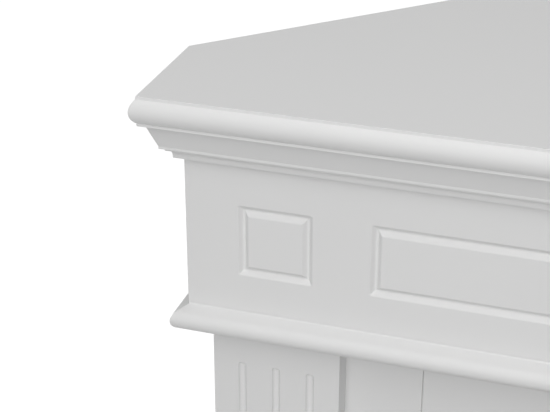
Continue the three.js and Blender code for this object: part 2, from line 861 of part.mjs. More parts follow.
// Upright pointed bars on one rail, cut from plate
function grate(front) {
  const z0 = deckTop + fit;
  const rail = z0 + 2 * grateBar;
  const tip = z0 + grateHeight;
  const half = grateBar / 2;
  const end = grateWidth / 2 + half;
  const bars = [];
  for (let i = 0; i < grateBars; i += 1) {
    const x = grateWidth / 2 - (i * grateWidth) / (grateBars - 1);
    bars.push([x + half, rail], [x + half, tip - grateBar], [x, tip]);
    bars.push([x - half, tip - grateBar], [x - half, rail]);
  }
  return plate([[-end, z0], [end, z0], ...bars.slice(1, -1)], [], front, front + grateBar);
}

function fire() {
  const grateY = innerY + grateGap;
  const emberFront = grateY + grateBar + emberFrontGap;
  const emberBack = screenY - emberBackGap;
  const placed = ({ across, deep, rise, girth }) => ({
    place: new THREE.Vector3(
      (across * emberWidth) / 2,
      THREE.MathUtils.lerp(emberFront, emberBack, deep),
      deckTop + emberHeight + rise * logRise),
    radius: girth * logRadius,
  });
  const around = [];
  Object.entries(logEnds).forEach(([name, ends], seed) => {
    const places = ends.map(placed);
    const whole = log(places, seed);
    add(name, around.length ? cut(whole, ...around) : whole, logResin);
    around.push(log(places, seed, fit));
  });
  add('ember_bed', cut(emberBed(emberFront, emberBack), ...around), emberResin);
  add('grate', grate(grateY), blackSteel);
}

// ---------------------------------------------------------------- flame effect

function flameEffect() {
  const y = screenBackY + rodBehind;
  const z = deckTop + rodRise;
  const motorX = insideX - flickerMotorLength;
  const rodEnd = motorX + flickerMotorLength / 2;
  const rodStart = -insideX + rodEndGap;
  const reach = motorX - paddleMargin;
  const pitch = (2 * reach) / paddleCount;
  const paddles = Array.from({ length: paddleCount }, (_, i) => {
    const x = -reach + pitch * (i + 0.5);
    const blade = new THREE.BoxGeometry(pitch * paddleShare, 2 * paddleReach, paddleThickness);
    return closed(blade.rotateX(THREE.MathUtils.degToRad(i * paddleTurn)).translate(x, y, z));
  });
  add('flicker_rod', join(barX(rodRadius, rodStart, rodEnd, y, z), ...paddles), bareSteel);
  const motor = barX(flickerMotorRadius, motorX, insideX, y, z, 20);
  add('flicker_motor', cut(motor,
    barX(rodRadius + turnFit, motorX - past, rodEnd + fit, y, z)), bareSteel);
  const bush = barX(bushRadius, -insideX, -insideX + bushLength, y, z, 16);
  add('flicker_bush', cut(bush,
    barX(rodRadius + turnFit, rodStart - fit, -insideX + bushLength + past, y, z)), blackPlastic);
  const ledHalf = insideX - ledBoardMargin;
  add('led_board', board(-ledHalf, ledHalf, y - ledBoardDepth / 2, y + ledBoardDepth / 2,
    deckTop + fit, deckTop + fit + boardThickness), circuitBoard);
}

// ---------------------------------------------------------------- heater

function heater() {
  const grilleY = frameBackY + fit;
  const grilleBackY = grilleY + grilleThickness;
  const grilleX = windowX + grilleLap;
  const cells = [];
  const cellWidth = (2 * windowX) / grilleColumns;
  const cellHeight = slotHeight / grilleRows;
  for (let row = 0; row < grilleRows; row += 1) {
    for (let column = 0; column < grilleColumns; column += 1) {
      const x = -windowX + column * cellWidth;
      const z = slotZ + row * cellHeight;
      cells.push(rectangle(x + grilleBar, x + cellWidth - grilleBar,
        z + grilleBar / 2, z + cellHeight - grilleBar / 2));
    }
  }
  add('outlet_grille', plate(rectangle(-grilleX, grilleX, slotZ - grilleLap, slotTop + grilleLap),
    cells, grilleY, grilleBackY), blackSteel);

  // Duct: a floor that curls up behind the wheel, a roof, and an end plate on each side
  const mouthY = Math.max(grilleBackY + fit, innerY);
  const floorZ = baffleTop + fit;
  const roofZ = floorZ + ductHeight;
  const wheelY = mouthY + wheelBehind;
  const scrollRadius = wheelRadius + scrollGap;
  const wheelZ = floorZ + sheet + scrollRadius;
  const scroll = folded([
    [mouthY, floorZ + sheet],
    ...arc(wheelY, wheelZ, scrollRadius, -90, 60, 10),
  ], -sheet);
  const roof = [
    [mouthY, roofZ - sheet], [wheelY - wheelRadius, roofZ - sheet],
    [wheelY - wheelRadius, roofZ], [mouthY, roofZ],
  ];
  const endBack = wheelY + scrollRadius + sheet;
  const end = [[mouthY, floorZ], [endBack, floorZ], [endBack, roofZ], [mouthY, roofZ]];
  const left = section(end, -ductHalfWidth, -ductHalfWidth + sheet);
  const right = section(end, ductHalfWidth - sheet, ductHalfWidth);
  const shell = join(
    section(scroll, -ductHalfWidth, ductHalfWidth),
    section(roof, -ductHalfWidth, ductHalfWidth), left, right);
  const shaftHole = barX(shaftRadius + turnFit, -ductHalfWidth - past, ductHalfWidth + past, wheelY, wheelZ);
  add('heater_housing', cut(shell, shaftHole), bareSteel);

  const elementHalf = ductHalfWidth - sheet - elementWall;
  const elementY = mouthY + elementBehind;
  const z0 = floorZ + sheet + fit;
  const z1 = roofZ - sheet - fit;
  const pitch = (2 * elementHalf) / elementCells;
  const fins = Array.from({ length: elementCells }, (_, i) => {
    const x = -elementHalf + i * pitch;
    return rectangle(x + elementWall, x + pitch - elementWall, z0 + elementWall, z1 - elementWall);
  });
  add('heater_element', plate(rectangle(-elementHalf, elementHalf, z0, z1), fins,
    elementY, elementY + elementDepth), bareSteel);

  // Wheel: forward-leaning blades round a core, on one shaft
  const blades = [];
  for (let i = 0; i < wheelBlades; i += 1) {
    const at = (i / wheelBlades) * 360;
    blades.push(...arc(wheelY, wheelZ, wheelRadius - bladeDepth, at, at + bladeRoot, 1));
    blades.push(...arc(wheelY, wheelZ, wheelRadius, at + bladeLead, at + bladeLead + bladeTip, 1));
  }
  const wheelHalf = ductHalfWidth - sheet - wheelGap;
  const shaftEnd = ductHalfWidth + fit + blowerMotorLength / 3;
  add('blower_wheel', join(
    section(blades, -wheelHalf, wheelHalf),
    barX(shaftRadius, -ductHalfWidth - past, shaftEnd, wheelY, wheelZ)), blackPlastic);

  const motorX = ductHalfWidth + fit;
  const stack = board(motorX, motorX + blowerMotorLength / 2,
    wheelY - blowerMotorRadius, wheelY + blowerMotorRadius,
    wheelZ - blowerMotorRadius, wheelZ + blowerMotorRadius);
  const can = barX(blowerMotorRadius * canShare, motorX, motorX + blowerMotorLength, wheelY, wheelZ, 20);
  add('blower_motor', cut(join(stack, can),
    barX(shaftRadius + turnFit, motorX - past, shaftEnd + fit, wheelY, wheelZ)), bareSteel);
}

// ---------------------------------------------------------------- controls

function controls() {
  const flangeY = frameBackY + fit;
  const floorY = flangeY + podDepth;
  const floorBackY = floorY + podWall;
  const middleZ = podZ + podHeight / 2;
  const left = podX - podHalf;
  const right = podX + podHalf;
  const boardY = floorBackY + boardStandOff;
  const buttonX = [-1, 0, 1].map((i) => podX - buttonShift + i * buttonSpacing);
  const rockerX = right - rockerWidth - rockerMargin;

  // Hinge of the flap
  const pinY = frameY + flapThickness / 2;
  const pinZ = podZ + hingePinRise;
  const ear = (x) => board(x, x + hingeEar, frameY - fit, floorY + podWall / 2,
    podZ + hingeFoot, pinZ + hingePinRise);

  // Rocker's bearings
  const pivotY = floorBackY + rockerPivot;
  const lugStart = rockerWidth / 2 + fit;
  const lugThickness = trunnionLength + lugWall;
  const lug = (x) => board(x, x + lugThickness, floorBackY - podWall / 2, pivotY + lugHalf,
    middleZ - lugHalf, middleZ + lugHalf);

  const outside = join(
    board(left - podFlange, right + podFlange, flangeY, flangeY + podWall,
      podZ - podFlange, podTop + podFlange),
    board(left - podWall, right + podWall, flangeY, floorBackY, podZ - podWall, podTop + podWall));
  const pocket = board(left, right, flangeY - past, floorY, podZ, podTop);
  const posts = [left + postInsetX, right - postInsetX].flatMap((x) =>
    [podZ + postInsetZ, podTop - postInsetZ].map((z) =>
      barY(postRadius, floorBackY - podWall / 2, boardY - fit, x, z, 8)));
  const body = join(cut(outside, pocket), ear(left), ear(right - hingeEar), ...posts,
    lug(rockerX - lugStart - lugThickness), lug(rockerX + lugStart));
  const holes = [
    ...buttonX.map((x) => barY(buttonRadius + turnFit, floorY - past, floorBackY + past, x, middleZ, 16)),
    board(rockerX - rockerWidth / 2 - fit, rockerX + rockerWidth / 2 + fit,
      floorY - past, floorBackY + fit / 10,
      middleZ - rockerHeight / 2 - rockerSwing, middleZ + rockerHeight / 2 + rockerSwing),
    barX(hingePinRadius + turnFit, left - past / 2, right + past / 2, pinY, pinZ),
    barX(trunnionRadius + turnFit, rockerX - lugStart - lugThickness - past,
      rockerX + lugStart + lugThickness + past, pivotY, middleZ),
  ];
  add('control_panel', cut(body, ...holes), blackPlastic);

  const flapX0 = left + hingeEar + fit;
  const flapX1 = right - hingeEar - fit;
  add('control_flap', join(
    board(flapX0, flapX1, frameY, frameY + flapThickness, pinZ - flapBelowPin, podTop - flapGap),
    barX(hingePinRadius, flapX0 - hingeEar + fit, flapX1 + hingeEar - fit, pinY, pinZ, 8)), blackSteel);

  const stemEnd = boardY - buttonTravel - fit;
  const collarY = floorBackY + fit;
  const collarBackY = collarY + buttonCollarThickness;
  ['power', 'flame', 'heat'].forEach((use, i) => {
    const cap = [
      [0, floorY - buttonProud],
      [buttonRadius - buttonEdge, floorY - buttonProud],
      [buttonRadius, floorY - buttonProud + buttonEdge],
      [buttonRadius, collarY],
      [buttonRadius + buttonCollar, collarY],
      [buttonRadius + buttonCollar, collarBackY],
      [buttonStemRadius, collarBackY],
      [buttonStemRadius, stemEnd],
      [0, stemEnd],
    ];
    const button = new THREE.LatheGeometry(vectors(cap), 16);
    add(`button_${use}`, closed(button.translate(buttonX[i], 0, middleZ)), blackPlastic);
  });

  const half = rockerHeight / 2;
  const paddle = section([
    [-rockerFront, -half], [-rockerWaist, 0], [-rockerFront, half], [-rockerShoulder, half],
    [rockerTail, rockerTail], [rockerTail, -rockerTail], [-rockerShoulder, -half],
  ], -rockerWidth / 2, rockerWidth / 2);
  const trunnion = barX(trunnionRadius, -rockerWidth / 2 - trunnionLength,
    rockerWidth / 2 + trunnionLength, 0, 0, 8);
  const switchBody = join(paddle, trunnion);
  switchBody.rotateX(THREE.MathUtils.degToRad(-rockerTilt)).translate(rockerX, pivotY, middleZ);
  add('rocker_switch', switchBody, blackPlastic);

  add('control_board', board(left + boardMarginX, right - boardMarginX, boardY, boardY + boardThickness,
    podZ + boardMarginZ, podTop - boardMarginZ), circuitBoard);

  // Inlet for the lead, on the casing's back
  const inletX = inletInset - casingX;
  const inletY = casingBackY + fit;
  const inletZ = boardZ + inletRise;
  add('power_inlet', cut(
    board(inletX - inletWidth / 2, inletX + inletWidth / 2, inletY, inletY + inletDepth,
      inletZ, inletZ + inletHeight),
    board(inletX - inletWidth / 2 + inletWall, inletX + inletWidth / 2 - inletWall,
      inletY + inletFloor, inletY + inletDepth + past,
      inletZ + inletWall, inletZ + inletHeight - inletWall)), blackPlastic);
}

mantel();
carcass();
casing();
fire();
flameEffect();
heater();
controls();

export default model;
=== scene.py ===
# %% [markdown]
# # Dressing a corner fireplace
# The solid model of this fireplace is made already: a painted mantel that stands across the corner
# of a room, with an electric firebox inside. Its solids have the right places and sizes, but hard
# edges and no finish. This lesson gives each of them the look of the real thing: eased edges,
# routed grooves, paint, powder coat, bark and glowing embers. Every length in the lesson is in
# millimetres and becomes metres only when a mesh is made, because a joiner's drawing of such a
# mantel is in millimetres too.

import math
import random

import bmesh
import bpy
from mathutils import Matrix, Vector, noise
from mathutils.geometry import tessellate_polygon


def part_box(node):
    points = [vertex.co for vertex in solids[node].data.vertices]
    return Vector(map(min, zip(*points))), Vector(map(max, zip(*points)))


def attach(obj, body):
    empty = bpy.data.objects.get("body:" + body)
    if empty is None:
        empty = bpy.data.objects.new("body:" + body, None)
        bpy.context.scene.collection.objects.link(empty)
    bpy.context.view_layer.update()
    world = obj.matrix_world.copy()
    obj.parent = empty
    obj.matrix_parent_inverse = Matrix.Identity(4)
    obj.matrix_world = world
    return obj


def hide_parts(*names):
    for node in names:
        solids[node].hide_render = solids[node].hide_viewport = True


MM = 0.001

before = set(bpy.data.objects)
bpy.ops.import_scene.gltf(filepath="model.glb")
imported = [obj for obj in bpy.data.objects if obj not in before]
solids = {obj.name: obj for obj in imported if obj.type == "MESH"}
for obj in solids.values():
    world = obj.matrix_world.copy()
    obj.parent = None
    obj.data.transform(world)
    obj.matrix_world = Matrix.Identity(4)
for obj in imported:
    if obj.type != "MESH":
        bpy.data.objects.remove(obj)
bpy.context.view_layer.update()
print("loaded", len(solids), "solids")


def limits(node):
    """Lowest and highest x, y and z of a solid, in millimetres."""
    low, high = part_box(node)
    return [value / MM for pair in zip(low, high) for value in pair]


# %% [markdown]
# ## The camera
# The photograph looks down on the mantel's left end from in front. Its lines fix where the camera
# stood: the long mouldings run to one vanishing point and the shelf's return to another. We set the
# camera first, so that each piece can be judged in the photograph's own frame as soon as it is
# made.

# %% Set the camera
CAMERA_PLACE = Vector((-65.004, -1321.926, 1409.508)) * MM
CAMERA_TURN = 17.9412  # degrees to the left of straight on
CAMERA_DOWN = 26.8611  # degrees below level
FOCAL_PIXELS = 1446.55  # at a picture width of 550 pixels
PICTURE_WIDTH = 550
SENSOR_WIDTH = 36.0

scene = bpy.context.scene
lens = bpy.data.cameras.new("camera")
lens.sensor_width = SENSOR_WIDTH
lens.lens = FOCAL_PIXELS / PICTURE_WIDTH * SENSOR_WIDTH
lens.clip_start = 50 * MM
camera = bpy.data.objects.new("camera", lens)
scene.collection.objects.link(camera)
camera.location = CAMERA_PLACE
camera.rotation_euler = (math.radians(90 - CAMERA_DOWN), 0, math.radians(CAMERA_TURN))
scene.camera = camera
print("lens", round(lens.lens, 2), "mm")

# %% [markdown]
# ## Writing materials as sums
# A material is a tree of nodes, and a tree of Math nodes is hard to read. So one small class wraps
# an output socket and takes part in sums as a number does: `1 - mask * 0.5` adds its Math nodes by
# itself. A second class holds one material and makes every other kind of node with a single method.

# %% Wrap a socket


class Wire:
    """One output of a node tree, which can stand in a sum."""

    def __init__(self, tree, socket):
        self.tree = tree
        self.socket = socket

    def sum_of(self, operation, *terms):
        made = self.tree.nodes.new("ShaderNodeMath")
        made.operation = operation
        for place, term in zip(made.inputs, terms):
            plug(self.tree, place, term)
        return Wire(self.tree, made.outputs[0])

    def __add__(self, other):
        return self.sum_of("ADD", self, other)

    def __radd__(self, other):
        return self.sum_of("ADD", other, self)

    def __sub__(self, other):
        return self.sum_of("SUBTRACT", self, other)

    def __rsub__(self, other):
        return self.sum_of("SUBTRACT", other, self)

    def __mul__(self, other):
        return self.sum_of("MULTIPLY", self, other)

    def __rmul__(self, other):
        return self.sum_of("MULTIPLY", other, self)

    def __truediv__(self, other):
        return self.sum_of("DIVIDE", self, other)

    def __rtruediv__(self, other):
        return self.sum_of("DIVIDE", other, self)

    def over(self, level):
        return self.sum_of("GREATER_THAN", self, level)

    def least(self, other):
        return self.sum_of("MINIMUM", self, other)

    def most(self, other):
        return self.sum_of("MAXIMUM", self, other)


def plug(tree, place, value):
    """Sets an input socket: a wire is linked, a number or a colour is stored."""
    if isinstance(value, Wire):
        tree.links.new(value.socket, place)
    elif hasattr(value, "__len__") and len(value) == 3 and place.type == "RGBA":
        place.default_value = (*value, 1.0)
    else:
        place.default_value = value


# %% Hold one material


class Finish:
    """A material or a world while its nodes are being made."""

    def __init__(self, name, kind="materials"):
        self.owner = getattr(bpy.data, kind).new(name)
        self.owner.use_nodes = True
        self.tree = self.owner.node_tree
        self.tree.nodes.clear()

    def node(self, kind, settings=None, sockets=None, out=0):
        made = self.tree.nodes.new("ShaderNode" + kind)
        for setting, value in (settings or {}).items():
            if setting == "stops":
                lay_stops(made.color_ramp, value)
            else:
                setattr(made, setting, value)
        for name, value in (sockets or {}).items():
            plug(self.tree, made.inputs[name], value)
        return Wire(self.tree, made.outputs[out]) if made.outputs else None

    def mix(self, share, first, second):
        """A colour between two colours."""
        return self.node("Mix", {"data_type": "RGBA"}, {0: share, 6: first, 7: second}, out=2)

    def place(self, stretch=(1, 1, 1)):
        """Where a point is on the piece, in metres, stretched along an axis or not."""
        here = self.node("TexCoord", out="Object")
        return self.node("VectorMath", {"operation": "MULTIPLY"}, {0: here, 1: stretch})

    def cloud(self, place, scale, detail=3.0, roughness=0.5):
        """Soft noise from 0 to 1, with `scale` lumps in a metre."""
        return self.node("TexNoise", None, {
            "Vector": place, "Scale": scale, "Detail": detail, "Roughness": roughness}, out="Fac")

    def bump(self, height, depth, strength=1.0):
        """The normal of a surface whose height 0..1 spans `depth` millimetres."""
        return self.node("Bump", None, {
            "Height": height, "Distance": depth * MM, "Strength": strength}, out="Normal")

    def close(self, **sockets):
        """Ends the tree in a principled surface."""
        sockets = {name.replace("_", " "): value for name, value in sockets.items()}
        surface = self.node("BsdfPrincipled", None, sockets, out="BSDF")
        self.node("OutputMaterial", None, {"Surface": surface})
        return self.owner


def lay_stops(ramp, stops):
    """Gives a colour ramp its stops, each a place and a colour."""
    while len(ramp.elements) < len(stops):
        ramp.elements.new(0.5)
    for element, (place, colour) in zip(ramp.elements, stops):
        element.position = place
        element.color = (*colour, 1.0)


# %% [markdown]
# ## Paint on board
# The mantel is made of smooth fibreboard, primed and sprayed white, then packed flat. Sprayed paint
# isn't quite even: it has a faint orange peel about a millimetre across, and its sheen drifts from
# place to place. Both are far too small to see one by one, but without them the paint looks like
# plastic.

# %% Mix the white paint
PAINT_LIGHT = (0.825, 0.825, 0.822)
PAINT_SHADE = (0.800, 0.800, 0.798)
PAINT_DRIFTS = 7.0  # patches in a metre
PAINT_PEEL = 900.0  # dimples in a metre
PEEL_DEPTH = 0.012


def white_paint():
    paint = Finish("white_paint")
    here = paint.place()
    drift = paint.cloud(here, PAINT_DRIFTS)
    peel = paint.cloud(here, PAINT_PEEL, 2.0)
    return paint.close(
        Base_Color=paint.mix(drift, PAINT_SHADE, PAINT_LIGHT),
        Roughness=0.42 + drift * 0.12,
        Normal=paint.bump(peel, PEEL_DEPTH, 0.6),
    )


WHITE_PAINT = white_paint()
print("mixed", WHITE_PAINT.name)

# %% [markdown]
# ## From points to a finished piece
# Every piece goes the same way: points and faces become a mesh, the mesh gets its material, its
# edges are eased, and the piece rides on the body that it belongs to. A bevel modifier eases the
# edges, as a sanding block does, and weighted normals keep the broad faces flat next to a narrow
# round one.

# %% Ease, paint and place a piece
SMOOTH_ANGLE = 32  # degrees: a sharper edge is a real arris
EASE_STEPS = 3
WELD_GAP = 0.002  # points closer than this are one point


def soften(piece, ease=0.0, angle=SMOOTH_ANGLE):
    """Shades a piece smooth, eases its arrises by `ease` millimetres and keeps its flats flat."""
    piece.data.shade_smooth()
    if ease:
        bevel = piece.modifiers.new("eased edges", "BEVEL")
        bevel.width = ease * MM
        bevel.segments = EASE_STEPS
        bevel.limit_method = "ANGLE"
        bevel.angle_limit = math.radians(angle)
        bevel.harden_normals = True
    else:
        piece.data.set_sharp_from_angle(angle=math.radians(angle))
    flats = piece.modifiers.new("flat faces", "WEIGHTED_NORMAL")
    flats.keep_sharp = True


def make(name, points, faces, finish, slot, body="root", nodes=(), ease=0.0, angle=SMOOTH_ANGLE):
    """Makes a piece from points in millimetres and faces, and hides the solids it stands for."""
    mesh = bpy.data.meshes.new(name)
    mesh.from_pydata([Vector(point) * MM for point in points], [], faces)
    mesh.materials.append(finish)
    work = bmesh.new()
    work.from_mesh(mesh)
    bmesh.ops.remove_doubles(work, verts=work.verts, dist=WELD_GAP * MM)
    bmesh.ops.recalc_face_normals(work, faces=work.faces)
    work.to_mesh(mesh)
    work.free()
    piece = bpy.data.objects.new(name, mesh)
    scene.collection.objects.link(piece)
    soften(piece, ease, angle)
    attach(piece, body)
    if nodes:
        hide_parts(*nodes)


def painted(name, shape, *nodes, **edges):
    """Makes a white piece from its points and faces."""
    make(name, *shape, WHITE_PAINT, "white_paint", nodes=nodes, **edges)


# %% [markdown]
# ## Rounded profiles
# A moulding is a profile pushed along a line. On a drawing the profile is a row of corners, and
# each corner has its own small radius from the cutter and the sanding. So we write corners with a
# radius each, and let one helper turn every corner into an arc that touches both of its sides.

# %% Turn corners into a smooth outline


def arc(centre, radius, first, last, steps):
    """Points on an arc, angles in degrees, both ends included."""
    turns = [math.radians(first + (last - first) * i / steps) for i in range(steps + 1)]
    return [(centre[0] + radius * math.cos(t), centre[1] + radius * math.sin(t)) for t in turns]


def rounded(corners, steps=4):
    """An outline of corners (x, y, radius) with each corner turned into an arc."""
    line = []
    for i, (x, y, radius) in enumerate(corners):
        here = Vector((x, y))
        if not radius:
            line.append((x, y))
            continue
        back = (Vector(corners[i - 1][:2]) - here).normalized()
        ahead = (Vector(corners[(i + 1) % len(corners)][:2]) - here).normalized()
        half = back.angle(ahead) / 2
        centre = here + (back + ahead).normalized() * radius / math.sin(half)
        first = here + back * radius / math.tan(half) - centre
        turn = first.angle_signed(here + ahead * radius / math.tan(half) - centre)
        start = math.atan2(first.y, first.x)
        for k in range(steps + 1):
            angle = start - turn * k / steps
            line.append((centre.x + radius * math.cos(angle), centre.y + radius * math.sin(angle)))
    return line


# %% Join rings of points into a skin


def skin(rings):
    """Faces that join each ring of points to the next one."""
    count = len(rings[0])
    faces = []
    for r in range(len(rings) - 1):
        for i in range(count):
            a, b = r * count + i, r * count + (i + 1) % count
            faces.append((a, b, b + count, a + count))
    return faces


def closed_skin(rings):
    """Points and faces of rings joined up, with a flat cap on the first and the last."""
    count, total = len(rings[0]), len(rings[0]) * len(rings)
    caps = [tuple(range(count)), tuple(range(total - count, total))]
    return [point for ring in rings for point in ring], skin(rings) + caps


# %% [markdown]
# ## The shelf
# The shelf is one thick board with five sides: its front and its two short returns have a round
# nose with a small step, a quirk, above it, and its two long sides lie against the walls. The nose
# is a stack of outlines, each a little wider or narrower than the one below, so the returns meet
# the front in a mitre.

# %% Stack outlines into a slab
shelf = limits("mantel_top")
frieze = limits("frieze_board")
FRONT = frieze[2]  # the frieze's front face, which every moulding is measured from
SIDE = frieze[1]
TIP = shelf[3]  # the corner of the room
ROOT_2 = math.sqrt(2)
SIDES = (("left", -1), ("right", 1))


def wall_at(x, clearance):
    """How far back the wall is at x, less a clearance square to the wall."""
    return TIP - abs(x) - clearance * ROOT_2


def slab(profile, outline):
    """A level slab whose outline at each height overhangs the frieze by the profile's amount."""
    return closed_skin([[(x, y, z) for x, y in outline(out)] for out, z in profile])


# %% Make the shelf
NOSE_OUT = 35.7  # beyond the frieze
NOSE_RADIUS = 14.0
NOSE_RISE = 11.5  # its centre above the shelf's underside
NOSE_STEPS = (12, 10)  # below and above its centre
QUIRK_IN = 5.0
QUIRK_EASE = 0.45
FILLET_OUT = 30.6  # the square edge under the nose
FILLET_RISE = 1.1


def shelf_outline(out):
    x = SIDE + out
    return [(-x, FRONT - out), (x, FRONT - out), (x, wall_at(x, 0)), (0, TIP), (-x, wall_at(x, 0))]


def shelf_profile():
    centre = (NOSE_OUT - NOSE_RADIUS, shelf[4] + NOSE_RISE)
    low = math.degrees(math.asin((NOSE_RISE - FILLET_RISE) / NOSE_RADIUS))
    top = math.degrees(math.acos((NOSE_RADIUS - QUIRK_IN) / NOSE_RADIUS))
    step = NOSE_OUT - QUIRK_IN
    arris = arc((step - QUIRK_EASE, shelf[5] - QUIRK_EASE), QUIRK_EASE, 0, 90, EASE_STEPS)
    fillet = [(FILLET_OUT, shelf[4]), (FILLET_OUT, shelf[4] + FILLET_RISE)]
    under = arc(centre, NOSE_RADIUS, -low, 0, NOSE_STEPS[0])
    over = arc(centre, NOSE_RADIUS, 0, top, NOSE_STEPS[1])
    return fillet + under + over[1:] + arris


painted("shelf_board", slab(shelf_profile(), shelf_outline), "mantel_top")
print("shelf", [round(value) for value in shelf])

# %% [markdown]
# ## Mouldings with mitres
# The crown and the ledge run along the front and turn the corner at each end. A joiner cuts each
# length at 45 degrees. Here each end of a length is a function of how far a point of the profile
# stands out: a mitre is simply an end that moves out as much as the point does. All that stands out
# is measured from the frieze's face.

# %% Push a profile along a line
MITRE_GAP = 0.08
BACK_CLEARANCE = 8.0  # from the walls to the cabinet
TOUCH = 0.3  # gap between two pieces that touch
ROUND_STEPS = 16
COVE_STEPS = 8


def moulding(profile, start, end, place):
    """A length of moulding from start(out) to end(out), set in space by place(along, out, z)."""
    rings = [[place(cut(out), out, z) for out, z in profile] for cut in (start, end)]
    return closed_skin(rings)


def moulding_set(name, front_profile, side_profile, nodes):
    """The front length and the two returns of one moulding."""
    front = moulding(front_profile, lambda out: -SIDE - out, lambda out: SIDE + out,
                     lambda along, out, z: (along, FRONT - out, z))
    painted(f"{name}_front", front, f"{nodes}_front")
    for side, sign in SIDES:
        length = moulding(side_profile, lambda out: FRONT - out + MITRE_GAP * ROOT_2,
                          lambda out: wall_at(SIDE + out, BACK_CLEARANCE),
                          lambda along, out, z: (sign * (SIDE + out), along, z))
        painted(f"{name}_{side}", length, f"{nodes}_{side}")
    print(name, len(front_profile), "points in the profile")


# %% Make the crown moulding
CROWN_TOP = 24.95  # below the shelf's top, like all its heights
FILLET_LOW = 26.9
SLOPE_OUT = 25.6  # where the slope leaves the fillet
LIP_OUT, LIP_TOP, LIP_LOW = 17.4, 48.7, 51.3
COVE_OUT, COVE_LEVEL, COVE_RADIUS = 13.4, 59.0, 5.0
BED_OUT, BED_TOP = 8.4, 59.3
FOOT_OUT, CROWN_LOW = 8.2, 62.2


def crown_profile():
    """Corners (out, height, radius) of the section: down its back, then up its front."""
    def drop(below):
        return shelf[5] - below

    cove = arc((COVE_OUT, drop(COVE_LEVEL)), COVE_RADIUS, 180, 90, COVE_STEPS)
    return rounded([
        (TOUCH, drop(CROWN_TOP), 0),
        (TOUCH, drop(CROWN_LOW), 0),
        (FOOT_OUT, drop(CROWN_LOW), 0.4),
        (BED_OUT, drop(BED_TOP), 0),
        *((out, z, 0) for out, z in cove),
        (COVE_OUT, drop(LIP_LOW), 0),
        (LIP_OUT, drop(LIP_LOW), 0.5),
        (LIP_OUT, drop(LIP_TOP), 0.5),
        (SLOPE_OUT, drop(FILLET_LOW), 0.3),
        (FILLET_OUT, drop(FILLET_LOW), 0.4),
        (FILLET_OUT, drop(CROWN_TOP), 0),
    ])


crown_section = crown_profile()
moulding_set("crown", crown_section, crown_section, "crown_moulding")

# %% Make the ledge under the frieze
ledge = limits("lower_moulding_front")
LEDGE_OUT = 14.5
LEDGE_COVE = 2.5
LEDGE_SAG = 0.6  # its underside below the solid's
LEDGE_NOSE_DROP = 3.4  # from the solid's top to the top of the nose
LEDGE_LEAN = 62  # degrees from level to the normal of its sloping top
LEDGE_FOOT = 9.6  # radius under the nose
LEDGE_RETURN_BACK = 15.2  # how far its returns reach in under the frieze


def ledge_profile(back):
    """A small cove, a slope, a round nose and a tighter foot, with a flat back behind them."""
    top, low = frieze[4] - TOUCH, ledge[4] - LEDGE_SAG
    radius = (top - LEDGE_NOSE_DROP - low) / 2
    middle, level = LEDGE_OUT - radius, low + radius
    nose = arc((middle, level), radius, LEDGE_LEAN, 0, ROUND_STEPS)
    foot = arc((LEDGE_OUT - LEDGE_FOOT, low + LEDGE_FOOT), LEDGE_FOOT, 0, -90, ROUND_STEPS)
    turn = math.radians(180 + LEDGE_LEAN)
    out = TOUCH + LEDGE_COVE * (1 + math.cos(turn))  # where the cove meets the slope
    z = nose[0][1] + (nose[0][0] - out) / math.tan(math.radians(LEDGE_LEAN))
    centre = (TOUCH + LEDGE_COVE, z - LEDGE_COVE * math.sin(turn))
    cove = arc(centre, LEDGE_COVE, 180, 180 + LEDGE_LEAN, COVE_STEPS)
    return cove + nose + foot + [(-back, low), (-back, top), (TOUCH, top)]


moulding_set("ledge", ledge_profile(ledge[3] - FRONT), ledge_profile(LEDGE_RETURN_BACK),
             "lower_moulding")

# %% [markdown]
# ## Boards with carved faces
# A router cuts the grooves that draw three panels on the frieze, with soft shoulders that the paint
# has filled a little, and a round-nosed cutter ploughs three flutes into each pilaster. Both are
# pockets in a flat face, and a pocket is a set of rings, each further in and deeper than the last.
# A boolean would leave ragged shading, so the flat face is filled round the outermost rings
# instead, and each pocket is a skin of its own.

# %% Make a board with pockets
CORNER_STEPS = 4
LEAST_RADIUS = 0.04


def ring(box, inset, radius, y):
    """A rounded rectangle in the plane of the front, drawn in by inset."""
    x0, x1, z0, z1 = box[0] + inset, box[1] - inset, box[2] + inset, box[3] - inset
    r = max(radius - inset, LEAST_RADIUS)
    corners = ((x1 - r, z1 - r, 0), (x0 + r, z1 - r, 90),
               (x0 + r, z0 + r, 180), (x1 - r, z0 + r, 270))
    return [(x, y, z) for cx, cz, turn in corners
            for x, z in arc((cx, cz), r, turn, turn + 90, CORNER_STEPS)]


def carved_board(box, y0, y1, pockets, ease, corner=0.4):
    """A board from y0 back to y1. A pocket is (box, radius, [(inset, depth)...])."""
    round_over = [(ease * (1 - math.cos(t)), y0 + ease * (1 - math.sin(t)))
                  for t in (math.radians(90 * i / EASE_STEPS) for i in range(EASE_STEPS + 1))]
    outer = [ring(box, 0, corner, y1)] + [ring(box, inset, corner, y) for inset, y in round_over]
    points, faces = closed_skin(outer)
    faces.pop()
    loops = [list(range(len(points) - len(outer[0]), len(points)))]
    for pocket, radius, steps in pockets:
        rings = [ring(pocket, inset, radius, y0 + depth) for inset, depth in steps]
        start = len(points)
        points += [point for loop in rings for point in loop]
        faces += [tuple(i + start for i in face) for face in skin(rings)]
        loops.append(list(range(start, start + len(rings[0]))))
        faces.append(tuple(range(len(points) - len(rings[0]), len(points))))
    flat = [[Vector((points[i][0], points[i][2], 0)) for i in loop] for loop in loops]
    order = [i for loop in loops for i in loop]
    faces += [tuple(order[i] for i in face) for face in tessellate_polygon(flat)]
    return points, faces


